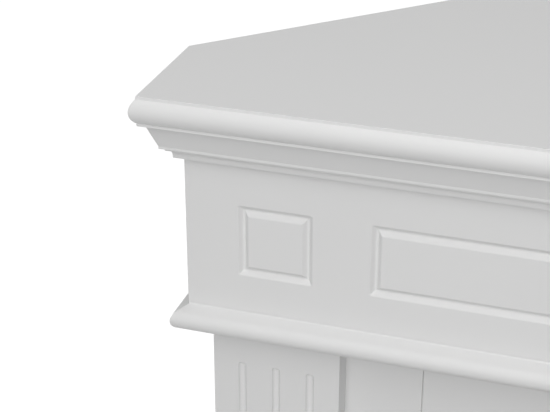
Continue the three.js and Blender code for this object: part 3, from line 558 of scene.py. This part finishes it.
# %% Rout the frieze
GROOVE_WIDTH = 10.8
GROOVE_DEPTH = 4.0
GROOVE_STEPS = 12
GROOVE_CORNER = 3.0
PANEL_DROP = 102.2  # from the shelf's top
PANEL_HEIGHT = 69.2
PANEL_GAP = 49.5
SQUARE_WIDTH = 68.5
SQUARE_MARGIN = 45.6
BOARD_EASE = 0.9
END_EASE = 0.2
SHARP_ANGLE = 60  # degrees: eases only the square edges of a piece with round ones
FRIEZE_SWELL = 1.6  # the frieze's ends beyond the solid's, as the photograph's left edge shows

groove = [(GROOVE_WIDTH * t, GROOVE_DEPTH * math.sin(math.pi * t) ** 2)
          for t in (i / GROOVE_STEPS for i in range(GROOVE_STEPS + 1))]
panel_top = shelf[5] - PANEL_DROP
square_edge = SIDE - SQUARE_MARGIN
long_edge = square_edge - SQUARE_WIDTH - PANEL_GAP
panels = [((x0, x1, panel_top - PANEL_HEIGHT, panel_top), GROOVE_CORNER, groove) for x0, x1 in (
    (-square_edge, SQUARE_WIDTH - square_edge),
    (-long_edge, long_edge),
    (square_edge - SQUARE_WIDTH, square_edge),
)]
frieze_x = SIDE + FRIEZE_SWELL
frieze_shape = carved_board((-frieze_x, frieze_x, frieze[4], frieze[5]), frieze[2], frieze[3],
                            panels, BOARD_EASE)
painted("frieze_front", frieze_shape, "frieze_board")
for side, sign in SIDES:
    inside, start = limits(f"frieze_return_{side}"), frieze[3] + MITRE_GAP
    inner = min(abs(inside[0]), abs(inside[1]))
    plan = [(frieze_x, start), (frieze_x, wall_at(frieze_x, BACK_CLEARANCE)),
            (inner, wall_at(inner, BACK_CLEARANCE)), (inner, start)]
    rings = [[(sign * x, y, z) for x, y in plan] for z in (inside[4], inside[5])]
    painted(f"frieze_end_{side}", closed_skin(rings), f"frieze_return_{side}",
            ease=END_EASE, angle=SHARP_ANGLE)
print("frieze with", len(panels), "routed panels")

# %% Plough the pilasters
FLUTE_RADIUS = 3.9
FLUTE_PROUD = 1.1  # the cutter's centre, in front of the face
FLUTE_PITCH = 32.3
FLUTE_MARGIN = 41.3
FLUTE_CORNER = 2.6
FLUTE_EASE = 0.3  # paint rounds the flute's edge
FLUTE_STEPS = 9  # over a quarter turn, of which the shallowest two are left to the eased edge


def flute_steps():
    """The cutter's round section, as insets from the flute's edge with their depths."""
    half = math.sqrt(FLUTE_RADIUS ** 2 - FLUTE_PROUD ** 2)
    steps = [(0, 0), (FLUTE_EASE / 2, FLUTE_EASE / 4), (FLUTE_EASE, FLUTE_EASE)]
    for i in range(3, FLUTE_STEPS):
        across = half * math.cos(math.radians(90 * i / FLUTE_STEPS))
        depth = math.sqrt(FLUTE_RADIUS ** 2 - across ** 2) - FLUTE_PROUD
        steps.append((half - across + FLUTE_EASE, depth))
    return half + FLUTE_EASE, steps


half_flute, flute = flute_steps()
for side in ("left", "right"):
    x0, x1, y0, y1, z0, z1 = limits(f"pilaster_{side}")
    z1 -= LEDGE_SAG
    centres = [(x0 + x1) / 2 + place * FLUTE_PITCH for place in (-1, 0, 1)]
    flute_low, flute_top = z0 + FLUTE_MARGIN, z1 + LEDGE_SAG - FLUTE_MARGIN
    flutes = [((x - half_flute, x + half_flute, flute_low, flute_top), FLUTE_CORNER, flute)
              for x in centres]
    board = carved_board((x0, x1, z0, z1), y0, y1, flutes, BOARD_EASE)
    painted(f"pilaster_board_{side}", board, f"pilaster_{side}")
print("flutes", round(2 * half_flute, 2), "mm wide")

# %% [markdown]
# ## Blocks, hearth and plain boards
# Each pilaster stands on a wider block with a rounded shoulder, and everything stands on the hearth
# board, whose front has a full round. The remaining boards are plain, so their solids stay: they
# only get paint and eased edges. A solid comes in as triangles, so its flat faces are first made
# whole again, because a bevel can't run cleanly along a fan of triangles. The open joints beside
# the header and the sill get a strip of filler deep inside, so that they show as thin dark lines
# and not as slits into the cabinet.

# %% Make the blocks and the hearth board
PLINTH_SHOULDER = 5.0
PLINTH_LIP = 2.0
PLINTH_EASE = 0.5
BACK_PANEL = 12  # thickness
HEARTH_STEPS = 20


def plinth_profile(out, low, high):
    centre = (out - PLINTH_SHOULDER, high - PLINTH_LIP - PLINTH_SHOULDER)
    shoulder = arc(centre, PLINTH_SHOULDER, 0, 90, COVE_STEPS)
    return [(out, low)] + shoulder + [(centre[0], high)]


for side, sign in SIDES:
    block, post = limits(f"plinth_block_{side}"), limits(f"pilaster_{side}")

    def block_outline(out):
        x0, x1 = post[0] - out, post[1] + out
        return [(x0, post[2] - out), (x1, post[2] - out), (x1, post[3]), (x0, post[3])]

    profile = plinth_profile(post[0] - block[0], block[4], block[5])
    painted(f"plinth_{side}", slab(profile, block_outline), f"plinth_block_{side}",
            ease=PLINTH_EASE, angle=SHARP_ANGLE)

hearth = limits("hearth_board")
cabinet = limits("side_panel_left")
BACK_INSIDE = BACK_CLEARANCE + BACK_PANEL + TOUCH  # from the walls to what stands inside the panels


def hearth_outline(out):
    x, ear = SIDE + out, -cabinet[0] + TOUCH
    right = [(x, FRONT - out), (x, wall_at(x, BACK_CLEARANCE)), (ear, wall_at(ear, BACK_CLEARANCE)),
             (ear, wall_at(ear, BACK_INSIDE)), (0, wall_at(0, BACK_INSIDE))]
    return right + [(-px, py) for px, py in reversed(right[:-1])]


hearth_radius = (hearth[5] - hearth[4]) / 2
hearth_nose = arc((-hearth[2] + FRONT - hearth_radius, hearth[4] + hearth_radius), hearth_radius,
                  -90, 90, HEARTH_STEPS)
painted("hearth_slab", slab(hearth_nose, hearth_outline), "hearth_board")
print("hearth board", round(hearth[5] - hearth[4]), "mm thick")

# %% Dress a plain solid
FLAT_ANGLE = 0.4  # degrees: faces that differ by less are one face


def dress(node, finish, ease=0.0, angle=SMOOTH_ANGLE):
    """Keeps a solid, and gives it a material and eased edges."""
    solid = solids[node]
    for place in solid.material_slots:
        place.material = finish
    weld = solid.modifiers.new("one skin", "WELD")
    weld.merge_threshold = WELD_GAP * MM
    whole = solid.modifiers.new("whole faces", "DECIMATE")
    whole.decimate_type = "DISSOLVE"
    whole.angle_limit = math.radians(FLAT_ANGLE)
    soften(solid, ease, angle)


PAINTED_EASE = 0.35
painted_boards = ["header_board", "sill_rail", "skirt_front"]
for pair in ("leg_panel", "side_panel", "skirt"):
    painted_boards += [f"{pair}_left", f"{pair}_right"]
for node in painted_boards:
    dress(node, WHITE_PAINT, PAINTED_EASE)
print("painted", len(painted_boards), "plain boards")

# %% Fill the joint beside the header
FILLER_DEPTH = 2.0  # below the face
FILLER_THICK = 4.0
FILLER_GAP = 0.02
stile, header, sill = limits("leg_panel_right"), limits("header_board"), limits("sill_rail")


def fill(sign, low, high):
    """A strip of filler between two heights, on the left or the right of the opening."""
    near, far = sign * (header[1] + FILLER_GAP), sign * (stile[0] - FILLER_GAP)
    face = header[2] + FILLER_DEPTH
    back = face + FILLER_THICK
    return closed_skin([[(near, face, z), (far, face, z), (far, back, z), (near, back, z)]
                        for z in (low, high)])


def gather(pieces):
    """Joins several sets of points and faces into one."""
    points, faces = [], []
    for more_points, more_faces in pieces:
        start = len(points)
        points += more_points
        faces += [tuple(i + start for i in face) for face in more_faces]
    return points, faces


fills = [fill(sign, board[4], board[5]) for sign in (-1, 1) for board in (sill, header)]
painted("joint_filler", gather(fills))

# %% [markdown]
# ## Board, sheet metal and plastic
# Behind the paint the fireplace is made of ordinary stuff: raw fibreboard at the back, powder
# coated sheet, zinc coated sheet, fine textured mouldings and foam tape. These differ in colour, in
# gloss and in the size of their grain, and in little else. So one recipe mixes them all: a slow
# cloud drifts the colour and the roughness, and a fine cloud raises the grain.

# %% Mix the plain materials


def grained(name, dark, light, lumps, rough, grain, depth, **rest):
    """A material between two colours. Lumps and grain are counts in a metre, and depth is in mm."""
    mixed = Finish(name)
    here = mixed.place()
    drift = mixed.cloud(here, lumps, 4.0)
    fine = mixed.cloud(here, grain, 3.0)
    low, high = rough
    return mixed.close(
        Base_Color=mixed.mix(drift * 0.6 + fine * 0.4, dark, light),
        Roughness=low + drift * (high - low),
        Normal=mixed.bump(fine, depth, 0.7),
        **rest,
    )


RAW_BOARD = grained("raw_board", (0.40, 0.285, 0.18), (0.68, 0.52, 0.36),
                    60, (0.78, 0.92), 900, 0.14)
BLACK_COAT = grained("black_coat", (0.010, 0.010, 0.011), (0.032, 0.032, 0.034),
                     9, (0.40, 0.56), 1100, 0.06)
ZINC = grained("zinc", (0.36, 0.37, 0.38), (0.74, 0.74, 0.75),
               70, (0.26, 0.46), 400, 0.01, Metallic=1.0)
SCREW_STEEL = grained("screw_steel", (0.30, 0.30, 0.31), (0.62, 0.61, 0.58),
                      300, (0.28, 0.42), 900, 0.01, Metallic=1.0)
BLACK_PLASTIC = grained("black_plastic", (0.012, 0.012, 0.013), (0.034, 0.034, 0.036),
                        14, (0.36, 0.50), 2400, 0.03)
FOAM = grained("foam_tape", (0.008, 0.008, 0.008), (0.030, 0.030, 0.030),
               40, (0.84, 0.96), 1800, 0.15)
print("mixed", len(bpy.data.materials), "materials so far")

# %% [markdown]
# ## Glass, screen and boards with copper
# The pane is tinted glass, coated so that it mirrors nothing: a refractive index of 1 does that.
# Behind the fire stands a dark acrylic screen. A turning rod with paddles throws light on its back,
# and what shows is a row of soft flames: noise that is stretched upright and fades out towards the
# top does the same. The two circuit boards are green lacquer over copper, which a pattern of square
# cells can suggest.

# %% Mix the glass, the screen and the circuit boards
FLAME_STOPS = [
    (0.00, (0.0, 0.0, 0.0)),
    (0.30, (0.20, 0.018, 0.0)),
    (0.60, (0.85, 0.20, 0.015)),
    (1.00, (1.0, 0.62, 0.16)),
]


def smoked_glass():
    glass = Finish("smoked_glass")
    dust = glass.cloud(glass.place(), 9.0, 5.0)
    return glass.close(
        Base_Color=glass.mix(dust, (0.60, 0.62, 0.63), (0.66, 0.68, 0.69)),
        Roughness=0.01 + (dust - 0.45).most(0.0) * 0.12,
        Transmission_Weight=1.0,
        IOR=1.0,
    )


def flame_screen(bottom, top):
    """Dark acrylic with flames between two heights, in millimetres."""
    screen = Finish("flame_screen")
    height = screen.node("SeparateXYZ", None, {0: screen.place()}, out="Z")
    climb = (height - bottom * MM) / ((top - bottom) * MM)
    tongues = screen.cloud(screen.place((26.0, 1.0, 8.0)), 1.0, 4.0, 0.55)
    licks = screen.cloud(screen.place((9.0, 1.0, 3.0)), 1.0, 2.0)
    heat = (tongues * 1.5 + licks * 1.1 - 0.72 - climb * 1.25).most(0.0).least(1.0)
    return screen.close(
        Base_Color=screen.mix(licks, (0.010, 0.010, 0.011), (0.022, 0.022, 0.024)),
        Roughness=0.20 + licks * 0.12,
        Emission_Color=screen.node("ValToRGB", {"stops": FLAME_STOPS}, {"Fac": heat}, out="Color"),
        Emission_Strength=0.9,
    )


def circuit_board():
    board = Finish("circuit_board")
    here = board.place()
    cells = board.node("TexVoronoi", {"distance": "CHEBYCHEV"}, {"Vector": here, "Scale": 240.0},
                       out="Distance")
    copper = cells.over(0.34)
    return board.close(
        Base_Color=board.mix(copper, (0.010, 0.085, 0.035), (0.020, 0.150, 0.060)),
        Roughness=0.30 + board.cloud(here, 30.0) * 0.12,
        Normal=board.bump(copper, 0.03, 0.6),
    )


SMOKED_GLASS = smoked_glass()
screen_box = limits("flame_screen")
FLAME_SCREEN = flame_screen(screen_box[4], screen_box[5])
CIRCUIT_BOARD = circuit_board()
print("screen from", round(screen_box[4]), "to", round(screen_box[5]), "mm")

# %% [markdown]
# ## The firebox and what works inside it
# Bent sheet has tiny round edges, and so have moulded plastic and cut glass. All these solids keep
# their shape, so the same helper that eased the boards goes over them with smaller radii.

# %% Dress the sheet metal, the glass and the works
DRESSING = [
    # finish, ease of the edges in millimetres, and the solids that have them
    (BLACK_COAT, 0.25, "front_frame casing_wrap casing_top casing_bottom deck_plate baffle_plate"),
    (BLACK_COAT, 0.35, "outlet_grille control_flap"),
    (BLACK_COAT, 1.4, "grate"),
    (FOAM, 0.4, "glass_gasket"),
    (SMOKED_GLASS, 0.35, "glass_front"),
    (FLAME_SCREEN, 0.3, "flame_screen"),
    (ZINC, 0.2, "bracket_left bracket_right heater_housing heater_element"),
    (ZINC, 0.2, "flicker_motor flicker_rod blower_motor"),
    (BLACK_PLASTIC, 0.22, "control_panel power_inlet rocker_switch flicker_bush blower_wheel"),
    (BLACK_PLASTIC, 0.3, "button_power button_flame button_heat"),
    (CIRCUIT_BOARD, 0.15, "led_board control_board"),
    (RAW_BOARD, 0.35, "wall_panel_left wall_panel_right"),
]
for finish, ease, nodes in DRESSING:
    for node in nodes.split():
        dress(node, finish, ease)
    print(finish.name, "on", nodes)

# %% [markdown]
# ## Logs of cast resin
# A cast log shows three things: bark with long plates and deep cracks, ends with growth rings where
# the branch was sawn, and a body that is neither straight nor round. We make each one as rings
# along its axis. Noise that runs slowly along the log and fast around it gives the plates, its
# folds give the cracks, and rings of shrinking radius close the ends. The axis and the radius come
# from the solid model.

# %% Grow the logs
LOG_ROUND = 88  # points in a ring
LOG_LONG = 84  # rings along a log
LOG_OVAL = 0.07  # out of round, as shares of the radius
LOG_KNOTS = 0.05
BARK_DEPTH = 3.0
PLATE_LENGTH = 17
CRACK_LENGTH = 6
PLATES_ROUND = 2.6  # how far noise travels over one radian round the log
END_RINGS = 5
END_BULGE = 0.5
RING_SWELL = 0.5  # growth rings on the sawn ends
RING_PITCH = 34
EMBER_HEIGHT = 20.0
BED_HALF = 235.0  # half the bed's length
LOG_ENDS = {
    # name: each end as shares across and deep into the bed, its rise over the bed and its radius
    "log_back": ((-0.817, 0.678, 20, 23), (0.8, 0.666, 23, 21)),
    "log_left": ((-0.723, 0.226, 12, 17), (-0.204, 0.571, 42, 14)),
    "log_right": ((0.74, 0.226, 12, 18), (0.264, 0.571, 43, 14)),
    "log_top": ((-0.502, 0.499, 60, 14), (0.545, 0.547, 64, 12)),
}
bed = limits("ember_bed")
deck_top = limits("deck_plate")[5]


def bed_y(deep):
    """The y of a place that is a share of the bed's depth back."""
    return bed[2] + (bed[3] - bed[2]) * deep


def log_end(across, deep, rise, radius):
    """The centre of a log's end, and its radius."""
    return Vector((across * BED_HALF, bed_y(deep), deck_top + EMBER_HEIGHT + rise)), radius


def bark(turn, along, seed):
    """How far the bark stands out of a log's mean surface, from -1 to about 0.5."""
    around = Vector((math.cos(turn), math.sin(turn), 0)) * PLATES_ROUND
    plates = noise.noise(around + Vector((0, 0, along / PLATE_LENGTH + seed * 9)))
    fine = noise.noise(around * 2.4 + Vector((0, 0, along / CRACK_LENGTH + seed * 5)))
    return 0.45 - 1.6 * abs(plates) ** 0.7 + 0.35 * fine


def log(ends, seed):
    """A log from one end to the other, out of round and covered in bark."""
    (start, first), (finish, last) = ends
    axis = finish - start
    side = Vector((0, 0, 1)).cross(axis).normalized()
    up = axis.cross(side).normalized()

    def log_ring(t, share, push):
        """Points round the log at t, drawn in to a share of its radius and pushed along it."""
        made = []
        for k in range(LOG_ROUND):
            turn = 2 * math.pi * k / LOG_ROUND
            shape = (1 + LOG_OVAL * math.sin(2 * turn + seed)
                     + LOG_KNOTS * math.sin(5 * t + 3 * turn + seed))
            rough = bark(turn, t * axis.length, seed) * BARK_DEPTH * share ** 3
            radius = (first + (last - first) * t) * shape * share + rough
            growth = RING_SWELL * math.sin(share * RING_PITCH)
            grain = growth + noise.noise(Vector((turn * 2, share * 8, seed * 3)))
            made.append(start + axis * t + axis.normalized() * push * (grain - 0.5)
                        + side * radius * math.cos(turn) + up * radius * math.sin(turn))
        return made

    rings = [log_ring(0, i / END_RINGS, -END_BULGE) for i in range(1, END_RINGS)]
    rings += [log_ring(i / LOG_LONG, 1, 0) for i in range(LOG_LONG + 1)]
    rings += [log_ring(1, i / END_RINGS, END_BULGE) for i in range(END_RINGS - 1, 0, -1)]
    return closed_skin(rings)


def bark_resin():
    resin = Finish("bark_resin")
    here = resin.place()
    patch = resin.cloud(here, 34.0, 5.0, 0.6)
    fibre = resin.cloud(here, 210.0, 4.0, 0.6)
    ash = (resin.cloud(here, 16.0, 4.0) - 0.52).most(0.0) * 3.2
    brown = resin.mix((patch - 0.34).most(0.0) * 2.6, (0.022, 0.013, 0.008), (0.260, 0.155, 0.085))
    return resin.close(
        Base_Color=resin.mix((ash * fibre * 1.6).least(0.8), brown, (0.30, 0.27, 0.24)),
        Roughness=0.74 + fibre * 0.18,
        Normal=resin.bump(fibre, 0.9, 0.9),
    )


BARK_ANGLE = 70  # degrees: rough things keep only their deepest creases sharp
COAL_ANGLE = 80
BARK_RESIN = bark_resin()
for seed, (name, ends) in enumerate(LOG_ENDS.items()):
    points, faces = log([log_end(*end) for end in ends], seed)
    make(f"{name}_bark", points, faces, BARK_RESIN, "log_resin", nodes=[name], angle=BARK_ANGLE)
print("grew", len(LOG_ENDS), "logs")

# %% [markdown]
# ## A bed of embers
# The bed is one thin moulding, lit from below: dark, ashy lumps with red light in the gaps between
# them. Its surface is a cell pattern, since each cell of such a pattern bulges like a coal. The
# same kind of pattern in the material puts the glow in the cracks. A few loose coals lie on top,
# half sunk in.

# %% Mould the embers
BED_COLUMNS = 190
BED_ROWS = 54
EMBER_EDGE = 4.0
EMBER_FRONT = 0.55  # height at the front, as a share of the height at the back
COAL_PITCH = 13.0
COAL_RISE = 4.6
COAL_MEAN = 0.55  # mean height of the lumps, which the bed's height already holds
GRIT_RISE = 0.9
GRIT_SIZE = 4


def lump(x, y):
    """Height of the coals at a place, from 0 in a crack to 1 on a crown."""
    near = noise.voronoi(Vector((x, y, 3.0)) / COAL_PITCH)[0][0]
    return max(0.0, 1 - near * 1.35)


def ember_surface(x, deep):
    """Height of the bed over its floor."""
    y = bed_y(deep)
    rise = EMBER_HEIGHT * (EMBER_FRONT + (1 - EMBER_FRONT) * deep)
    taper = math.sqrt(max(0.0, math.sin(math.pi * (x + BED_HALF) / (2 * BED_HALF))))
    grit = noise.noise(Vector((x, y, 0)) / GRIT_SIZE)
    rough = COAL_RISE * (lump(x, y) - COAL_MEAN) + GRIT_RISE * grit
    return EMBER_EDGE + (rise + rough) * taper


def ember_rings():
    """Sections of the bed from its left end to its right one."""
    for i in range(BED_COLUMNS + 1):
        x = -BED_HALF + 2 * BED_HALF * i / BED_COLUMNS
        crest = [(x, bed_y(deep), bed[4] + ember_surface(x, deep))
                 for deep in (j / BED_ROWS for j in range(BED_ROWS + 1))]
        yield crest + [(x, bed[3], bed[4]), (x, bed[2], bed[4])]


def ember_resin():
    resin = Finish("ember_resin")
    here = resin.place()
    wander = resin.cloud(here, 45.0, 3.0)
    moved = resin.node("VectorMath", {"operation": "ADD"}, {0: here, 1: resin.node(
        "CombineXYZ", None, {"X": wander * 0.012, "Y": wander * 0.009})})
    cells = resin.node("TexVoronoi", {"feature": "DISTANCE_TO_EDGE"}, {
        "Vector": moved, "Scale": 78.0}, out="Distance")
    ashy = resin.cloud(here, 120.0, 4.0, 0.65)
    crack = (1 - cells * 7.0).most(0.0)
    heat = crack * (resin.cloud(here, 22.0, 2.0) * 2.2 - 0.55).most(0.0)
    return resin.close(
        Base_Color=resin.mix((ashy * 1.5 - 0.35).most(0.0).least(1.0), (0.028, 0.022, 0.020),
                             (0.26, 0.235, 0.215)),
        Roughness=0.78 + ashy * 0.16,
        Emission_Color=resin.node("ValToRGB", {"stops": FLAME_STOPS}, {"Fac": heat.least(1.0)},
                                  out="Color"),
        Emission_Strength=1.6,
        Normal=resin.bump(ashy, 0.8, 0.8),
    )


EMBER_RESIN = ember_resin()
make("ember_bed_moulded", *closed_skin(list(ember_rings())), EMBER_RESIN, "ember_resin",
     nodes=["ember_bed"], angle=COAL_ANGLE)
print("ember bed", BED_COLUMNS, "by", BED_ROWS, "steps")

# %% Scatter loose coals
COAL_COUNT = 46
COAL_SIZE = (4.5, 8.0)
COAL_LUMP = 0.32  # swelling, as a share of its size
COAL_ROUGH = 0.10
COAL_FLAT = 0.62  # height as a share of the width
COAL_SINK = 0.1  # its centre above the bed, as a share of its size
COAL_EDGE = 12.0  # kept free along the bed's edge
scatter = random.Random(7)


def coal(centre, size, seed):
    """A small rough lump."""
    work = bmesh.new()
    bmesh.ops.create_icosphere(work, subdivisions=3, radius=1.0)
    turn = scatter.uniform(0, math.pi)
    points = []
    for vertex in work.verts:
        out = vertex.co.normalized()
        swell = (1 + COAL_LUMP * noise.noise(out * 1.6 + Vector((seed * 3, 0, 0)))
                 + COAL_ROUGH * noise.noise(out * 5))
        x, y, z = out * size * swell
        points.append((centre[0] + x * math.cos(turn) - y * math.sin(turn),
                       centre[1] + x * math.sin(turn) + y * math.cos(turn),
                       centre[2] + COAL_FLAT * z))
    faces = [[vertex.index for vertex in face.verts] for face in work.faces]
    work.free()
    return points, faces


coals = []
for seed in range(COAL_COUNT):
    size = scatter.uniform(*COAL_SIZE)
    x = scatter.uniform(-BED_HALF + 3 * COAL_EDGE, BED_HALF - 3 * COAL_EDGE)
    y = scatter.uniform(bed[2] + COAL_EDGE, bed[3] - COAL_EDGE)
    deep = (y - bed[2]) / (bed[3] - bed[2])
    z = bed[4] + ember_surface(x, deep) + COAL_SINK * size
    coals.append(coal((x, y, z), size, seed))
make("loose_coals", *gather(coals), EMBER_RESIN, "ember_resin", angle=COAL_ANGLE)
print("scattered", len(coals), "coals")

# %% [markdown]
# ## Screws and pins
# The solid model leaves out the fasteners. The back panels are held by a row of screws along each
# edge, the firebox frame by four black ones, and each bracket by two. A pan head is a small dome
# with a cross punched into it: the flat crown is filled round a cross-shaped loop, and the same
# loop goes down as a skin. The socket for the lead has three flat pins.

# %% Make a screw head
HEAD_ROUND = 24
HEAD_DOME = ((1, 0), (1, 0.35), (0.93, 0.72), (0.72, 1))  # shares of its radius and height
CROSS_ARM = 0.56  # of the head's radius, as is the half width
CROSS_HALF = 0.15
CROSS_TAPER = 0.6  # size of its floor
CROSS_FLOOR = 0.35  # height of its floor, as a share of the head's
HEAD_ANGLE = 40


def screw_head(place, outward, radius, height, spin):
    """A pan head at `place` that faces `outward`, with its cross turned by `spin` degrees."""
    turns = [2 * math.pi * k / HEAD_ROUND for k in range(HEAD_ROUND)]
    dome = [(wide * radius, high * height) for wide, high in HEAD_DOME]
    rings = [[(r * math.cos(t), r * math.sin(t), h) for t in turns] for r, h in dome]
    arm, half = CROSS_ARM * radius, CROSS_HALF * radius
    quarter = [(arm, -half), (arm, half), (half, half)]
    cross = [(x * math.cos(t) - y * math.sin(t), x * math.sin(t) + y * math.cos(t))
             for t in (math.radians(spin + 90 * q) for q in range(4)) for x, y in quarter]
    points, faces = closed_skin(rings)
    faces.pop()
    edge = list(range(len(points) - HEAD_ROUND, len(points)))
    hole = list(range(len(points), len(points) + len(cross)))
    floor = [i + len(cross) for i in hole]
    points += [(x, y, height) for x, y in cross]
    points += [(CROSS_TAPER * x, CROSS_TAPER * y, CROSS_FLOOR * height) for x, y in cross]
    faces += [(hole[i], hole[i - 1], floor[i - 1], floor[i]) for i in range(len(cross))]
    faces.append(tuple(floor))
    loops = [[Vector((points[i][0], points[i][1], 0)) for i in loop] for loop in (edge, hole)]
    order = edge + hole
    faces += [tuple(order[i] for i in face) for face in tessellate_polygon(loops)]
    turn = Vector(outward).to_track_quat("Z", "Y")
    return [tuple(Vector(place) + turn @ Vector(point)) for point in points], faces


def screws(name, places, finish, slot, radius=3.6, height=1.9):
    """A set of screw heads as one piece. Each place is a point and the way out of the surface."""
    heads = [screw_head(place, outward, radius, height, scatter.uniform(0, 90))
             for place, outward in places]
    make(name, *gather(heads), finish, slot, angle=HEAD_ANGLE)
    print(name, len(heads))


# %% Drive the screws
SCREW_PITCH = 145.0
SIDE_ROW, MIDDLE_ROW = 7.0, 8.0  # from the back panel's outer edge, and from the middle
FLOOR_ROW, LOW_ROW, TOP_ROW = 45.0, 108.0, 12.0  # above the floor, twice, and below the panel's top
FRAME_ACROSS, FRAME_TOP, FRAME_LOW = 258.5, 42.0, 62.0  # from the middle and the frame's edges
FRAME_HEAD = (3.2, 1.5)  # radius and height
BRACKET_EDGE, BRACKET_END, BRACKET_SHEET = 14.0, 10.0, 1.5
BRACKET_HEAD = (3.2, 1.7)
panel = limits("wall_panel_right")


def along(low, high, pitch):
    """Evenly spaced places from low to high, about `pitch` apart."""
    count = max(1, round((high - low) / pitch))
    return [low + (high - low) * i / count for i in range(count + 1)]


back_places = []
for sign in (-1, 1):
    def on_panel(x, z):
        return (sign * x, wall_at(x, BACK_CLEARANCE), z), (sign, 1, 0)

    for z in along(FLOOR_ROW, panel[5] - TOP_ROW, SCREW_PITCH):
        back_places += [on_panel(x, z) for x in (panel[1] - SIDE_ROW, MIDDLE_ROW)]
    for x in along(MIDDLE_ROW, panel[1] - SIDE_ROW, SCREW_PITCH)[1:-1]:
        back_places += [on_panel(x, z) for z in (LOW_ROW, panel[5] - TOP_ROW)]
screws("back_screws", back_places, SCREW_STEEL, "bare_steel")

frame_box = limits("front_frame")
frame_places = [((sign * FRAME_ACROSS, frame_box[2], z), (0, -1, 0)) for sign in (-1, 1)
                for z in (frame_box[5] - FRAME_TOP, frame_box[4] + FRAME_LOW)]
screws("frame_screws", frame_places, BLACK_COAT, "black_steel", *FRAME_HEAD)

bracket_places = []
for side, sign in SIDES:
    bracket = limits(f"bracket_{side}")
    foot = max(abs(bracket[0]), abs(bracket[1])) - BRACKET_EDGE
    back = header[3] + TOUCH + BRACKET_SHEET
    bracket_places += [((sign * foot, back, z), (0, 1, 0))
                       for z in (bracket[4] + BRACKET_END, bracket[5] - BRACKET_END)]
screws("bracket_screws", bracket_places, SCREW_STEEL, "bare_steel", *BRACKET_HEAD)

# %% Set the pins in the lead's socket
PIN_SIZE = (2.0, 14.0, 4.0)
PIN_POINT = 1.6  # length of the tapered end
PIN_TIP = 0.55  # its size, as a share
SOCKET_FLOOR = 3.0  # from the inlet's inner face
PIN_PLACES = ((-7.0, -1.5), (0.0, 2.0), (7.0, -1.5))  # across and up from the socket's middle
inlet = limits("power_inlet")


def pin(x, z):
    """A flat pin with a tapered end, from the socket's floor outwards."""
    wide, long, high = PIN_SIZE
    start = inlet[2] + SOCKET_FLOOR
    rings = []
    for y, share in ((start, 1.0), (start + long - PIN_POINT, 1.0), (start + long, PIN_TIP)):
        half_x, half_z = wide / 2 * share, high / 2 * share
        rings.append([(x - half_x, y, z - half_z), (x + half_x, y, z - half_z),
                      (x + half_x, y, z + half_z), (x - half_x, y, z + half_z)])
    return closed_skin(rings)


socket_x, socket_z = (inlet[0] + inlet[1]) / 2, (inlet[4] + inlet[5]) / 2
pins = [pin(socket_x + across, socket_z + up) for across, up in PIN_PLACES]
make("lead_pins", *gather(pins), SCREW_STEEL, "bare_steel", ease=0.2)
print("set", len(pins), "pins")

# %% [markdown]
# ## Floor, world and lamps
# The fireplace stands on a plain pale floor in a white studio. The world lights it evenly, and
# three large soft lamps shape it: one high in front, one straight in front and one overhead. So the
# round noses are brightest where they face half up. The camera has to see pure white round the
# object, but so much white light would wash the paint out. So the world and the floor are white
# only to the camera and in reflections, and dimmer to everything else.

# %% Make the world and the floor
WORLD_LIGHT = 0.27
FLOOR_COLOUR = (0.38, 0.38, 0.38)
FLOOR_GLOW = (0.90, 0.90, 0.90)
FLOOR_REACH = 9000.0


def seen_directly(finish):
    """1 on rays from the camera, and on those that a mirror or glass passes on."""
    def kind(name):
        return finish.node("LightPath", out=name)

    return kind("Is Camera Ray").most(kind("Is Glossy Ray")).most(kind("Is Transmission Ray"))


world = Finish("studio", "worlds")
white = seen_directly(world)
sky = world.node("Background", None, {
    "Color": world.mix(white, (WORLD_LIGHT,) * 3, (1.0, 1.0, 1.0)), "Strength": 1.0})
world.node("OutputWorld", None, {"Surface": sky})
scene.world = world.owner

floor_finish = Finish("pale_floor")
floor_finish.close(
    Base_Color=FLOOR_COLOUR,
    Roughness=0.9,
    Emission_Color=floor_finish.mix(seen_directly(floor_finish), (0.0, 0.0, 0.0), FLOOR_GLOW),
    Emission_Strength=1.0,
)
floor_mesh = bpy.data.meshes.new("floor")
floor_corners = [Vector((x, y, 0)) * FLOOR_REACH * MM
                 for x, y in ((-1, -1), (1, -1), (1, 1), (-1, 1))]
floor_mesh.from_pydata(floor_corners, [], [(0, 1, 2, 3)])
floor_mesh.materials.append(floor_finish.owner)
floor = bpy.data.objects.new("floor", floor_mesh)
scene.collection.objects.link(floor)

# %% Hang the lamps
LAMP_AIM = Vector((0, -200, 700))
LAMPS = {
    # name: place, size and power
    "high_softbox": ((-250, -2000, 2620), 1400, 19.0),
    "front_softbox": ((150, -3600, 850), 2600, 39.5),
    "top_softbox": ((0, -500, 3300), 2200, 14.0),
}
for name, (place, size, power) in LAMPS.items():
    light = bpy.data.lights.new(name, "AREA")
    light.shape = "SQUARE"
    light.size = size * MM
    light.energy = power
    lamp = bpy.data.objects.new(name, light)
    scene.collection.objects.link(lamp)
    lamp.location = Vector(place) * MM
    lamp.rotation_euler = (LAMP_AIM - Vector(place)).to_track_quat("-Z", "Y").to_euler()
scene.view_settings.view_transform = "Standard"
print("hung", len(LAMPS), "lamps")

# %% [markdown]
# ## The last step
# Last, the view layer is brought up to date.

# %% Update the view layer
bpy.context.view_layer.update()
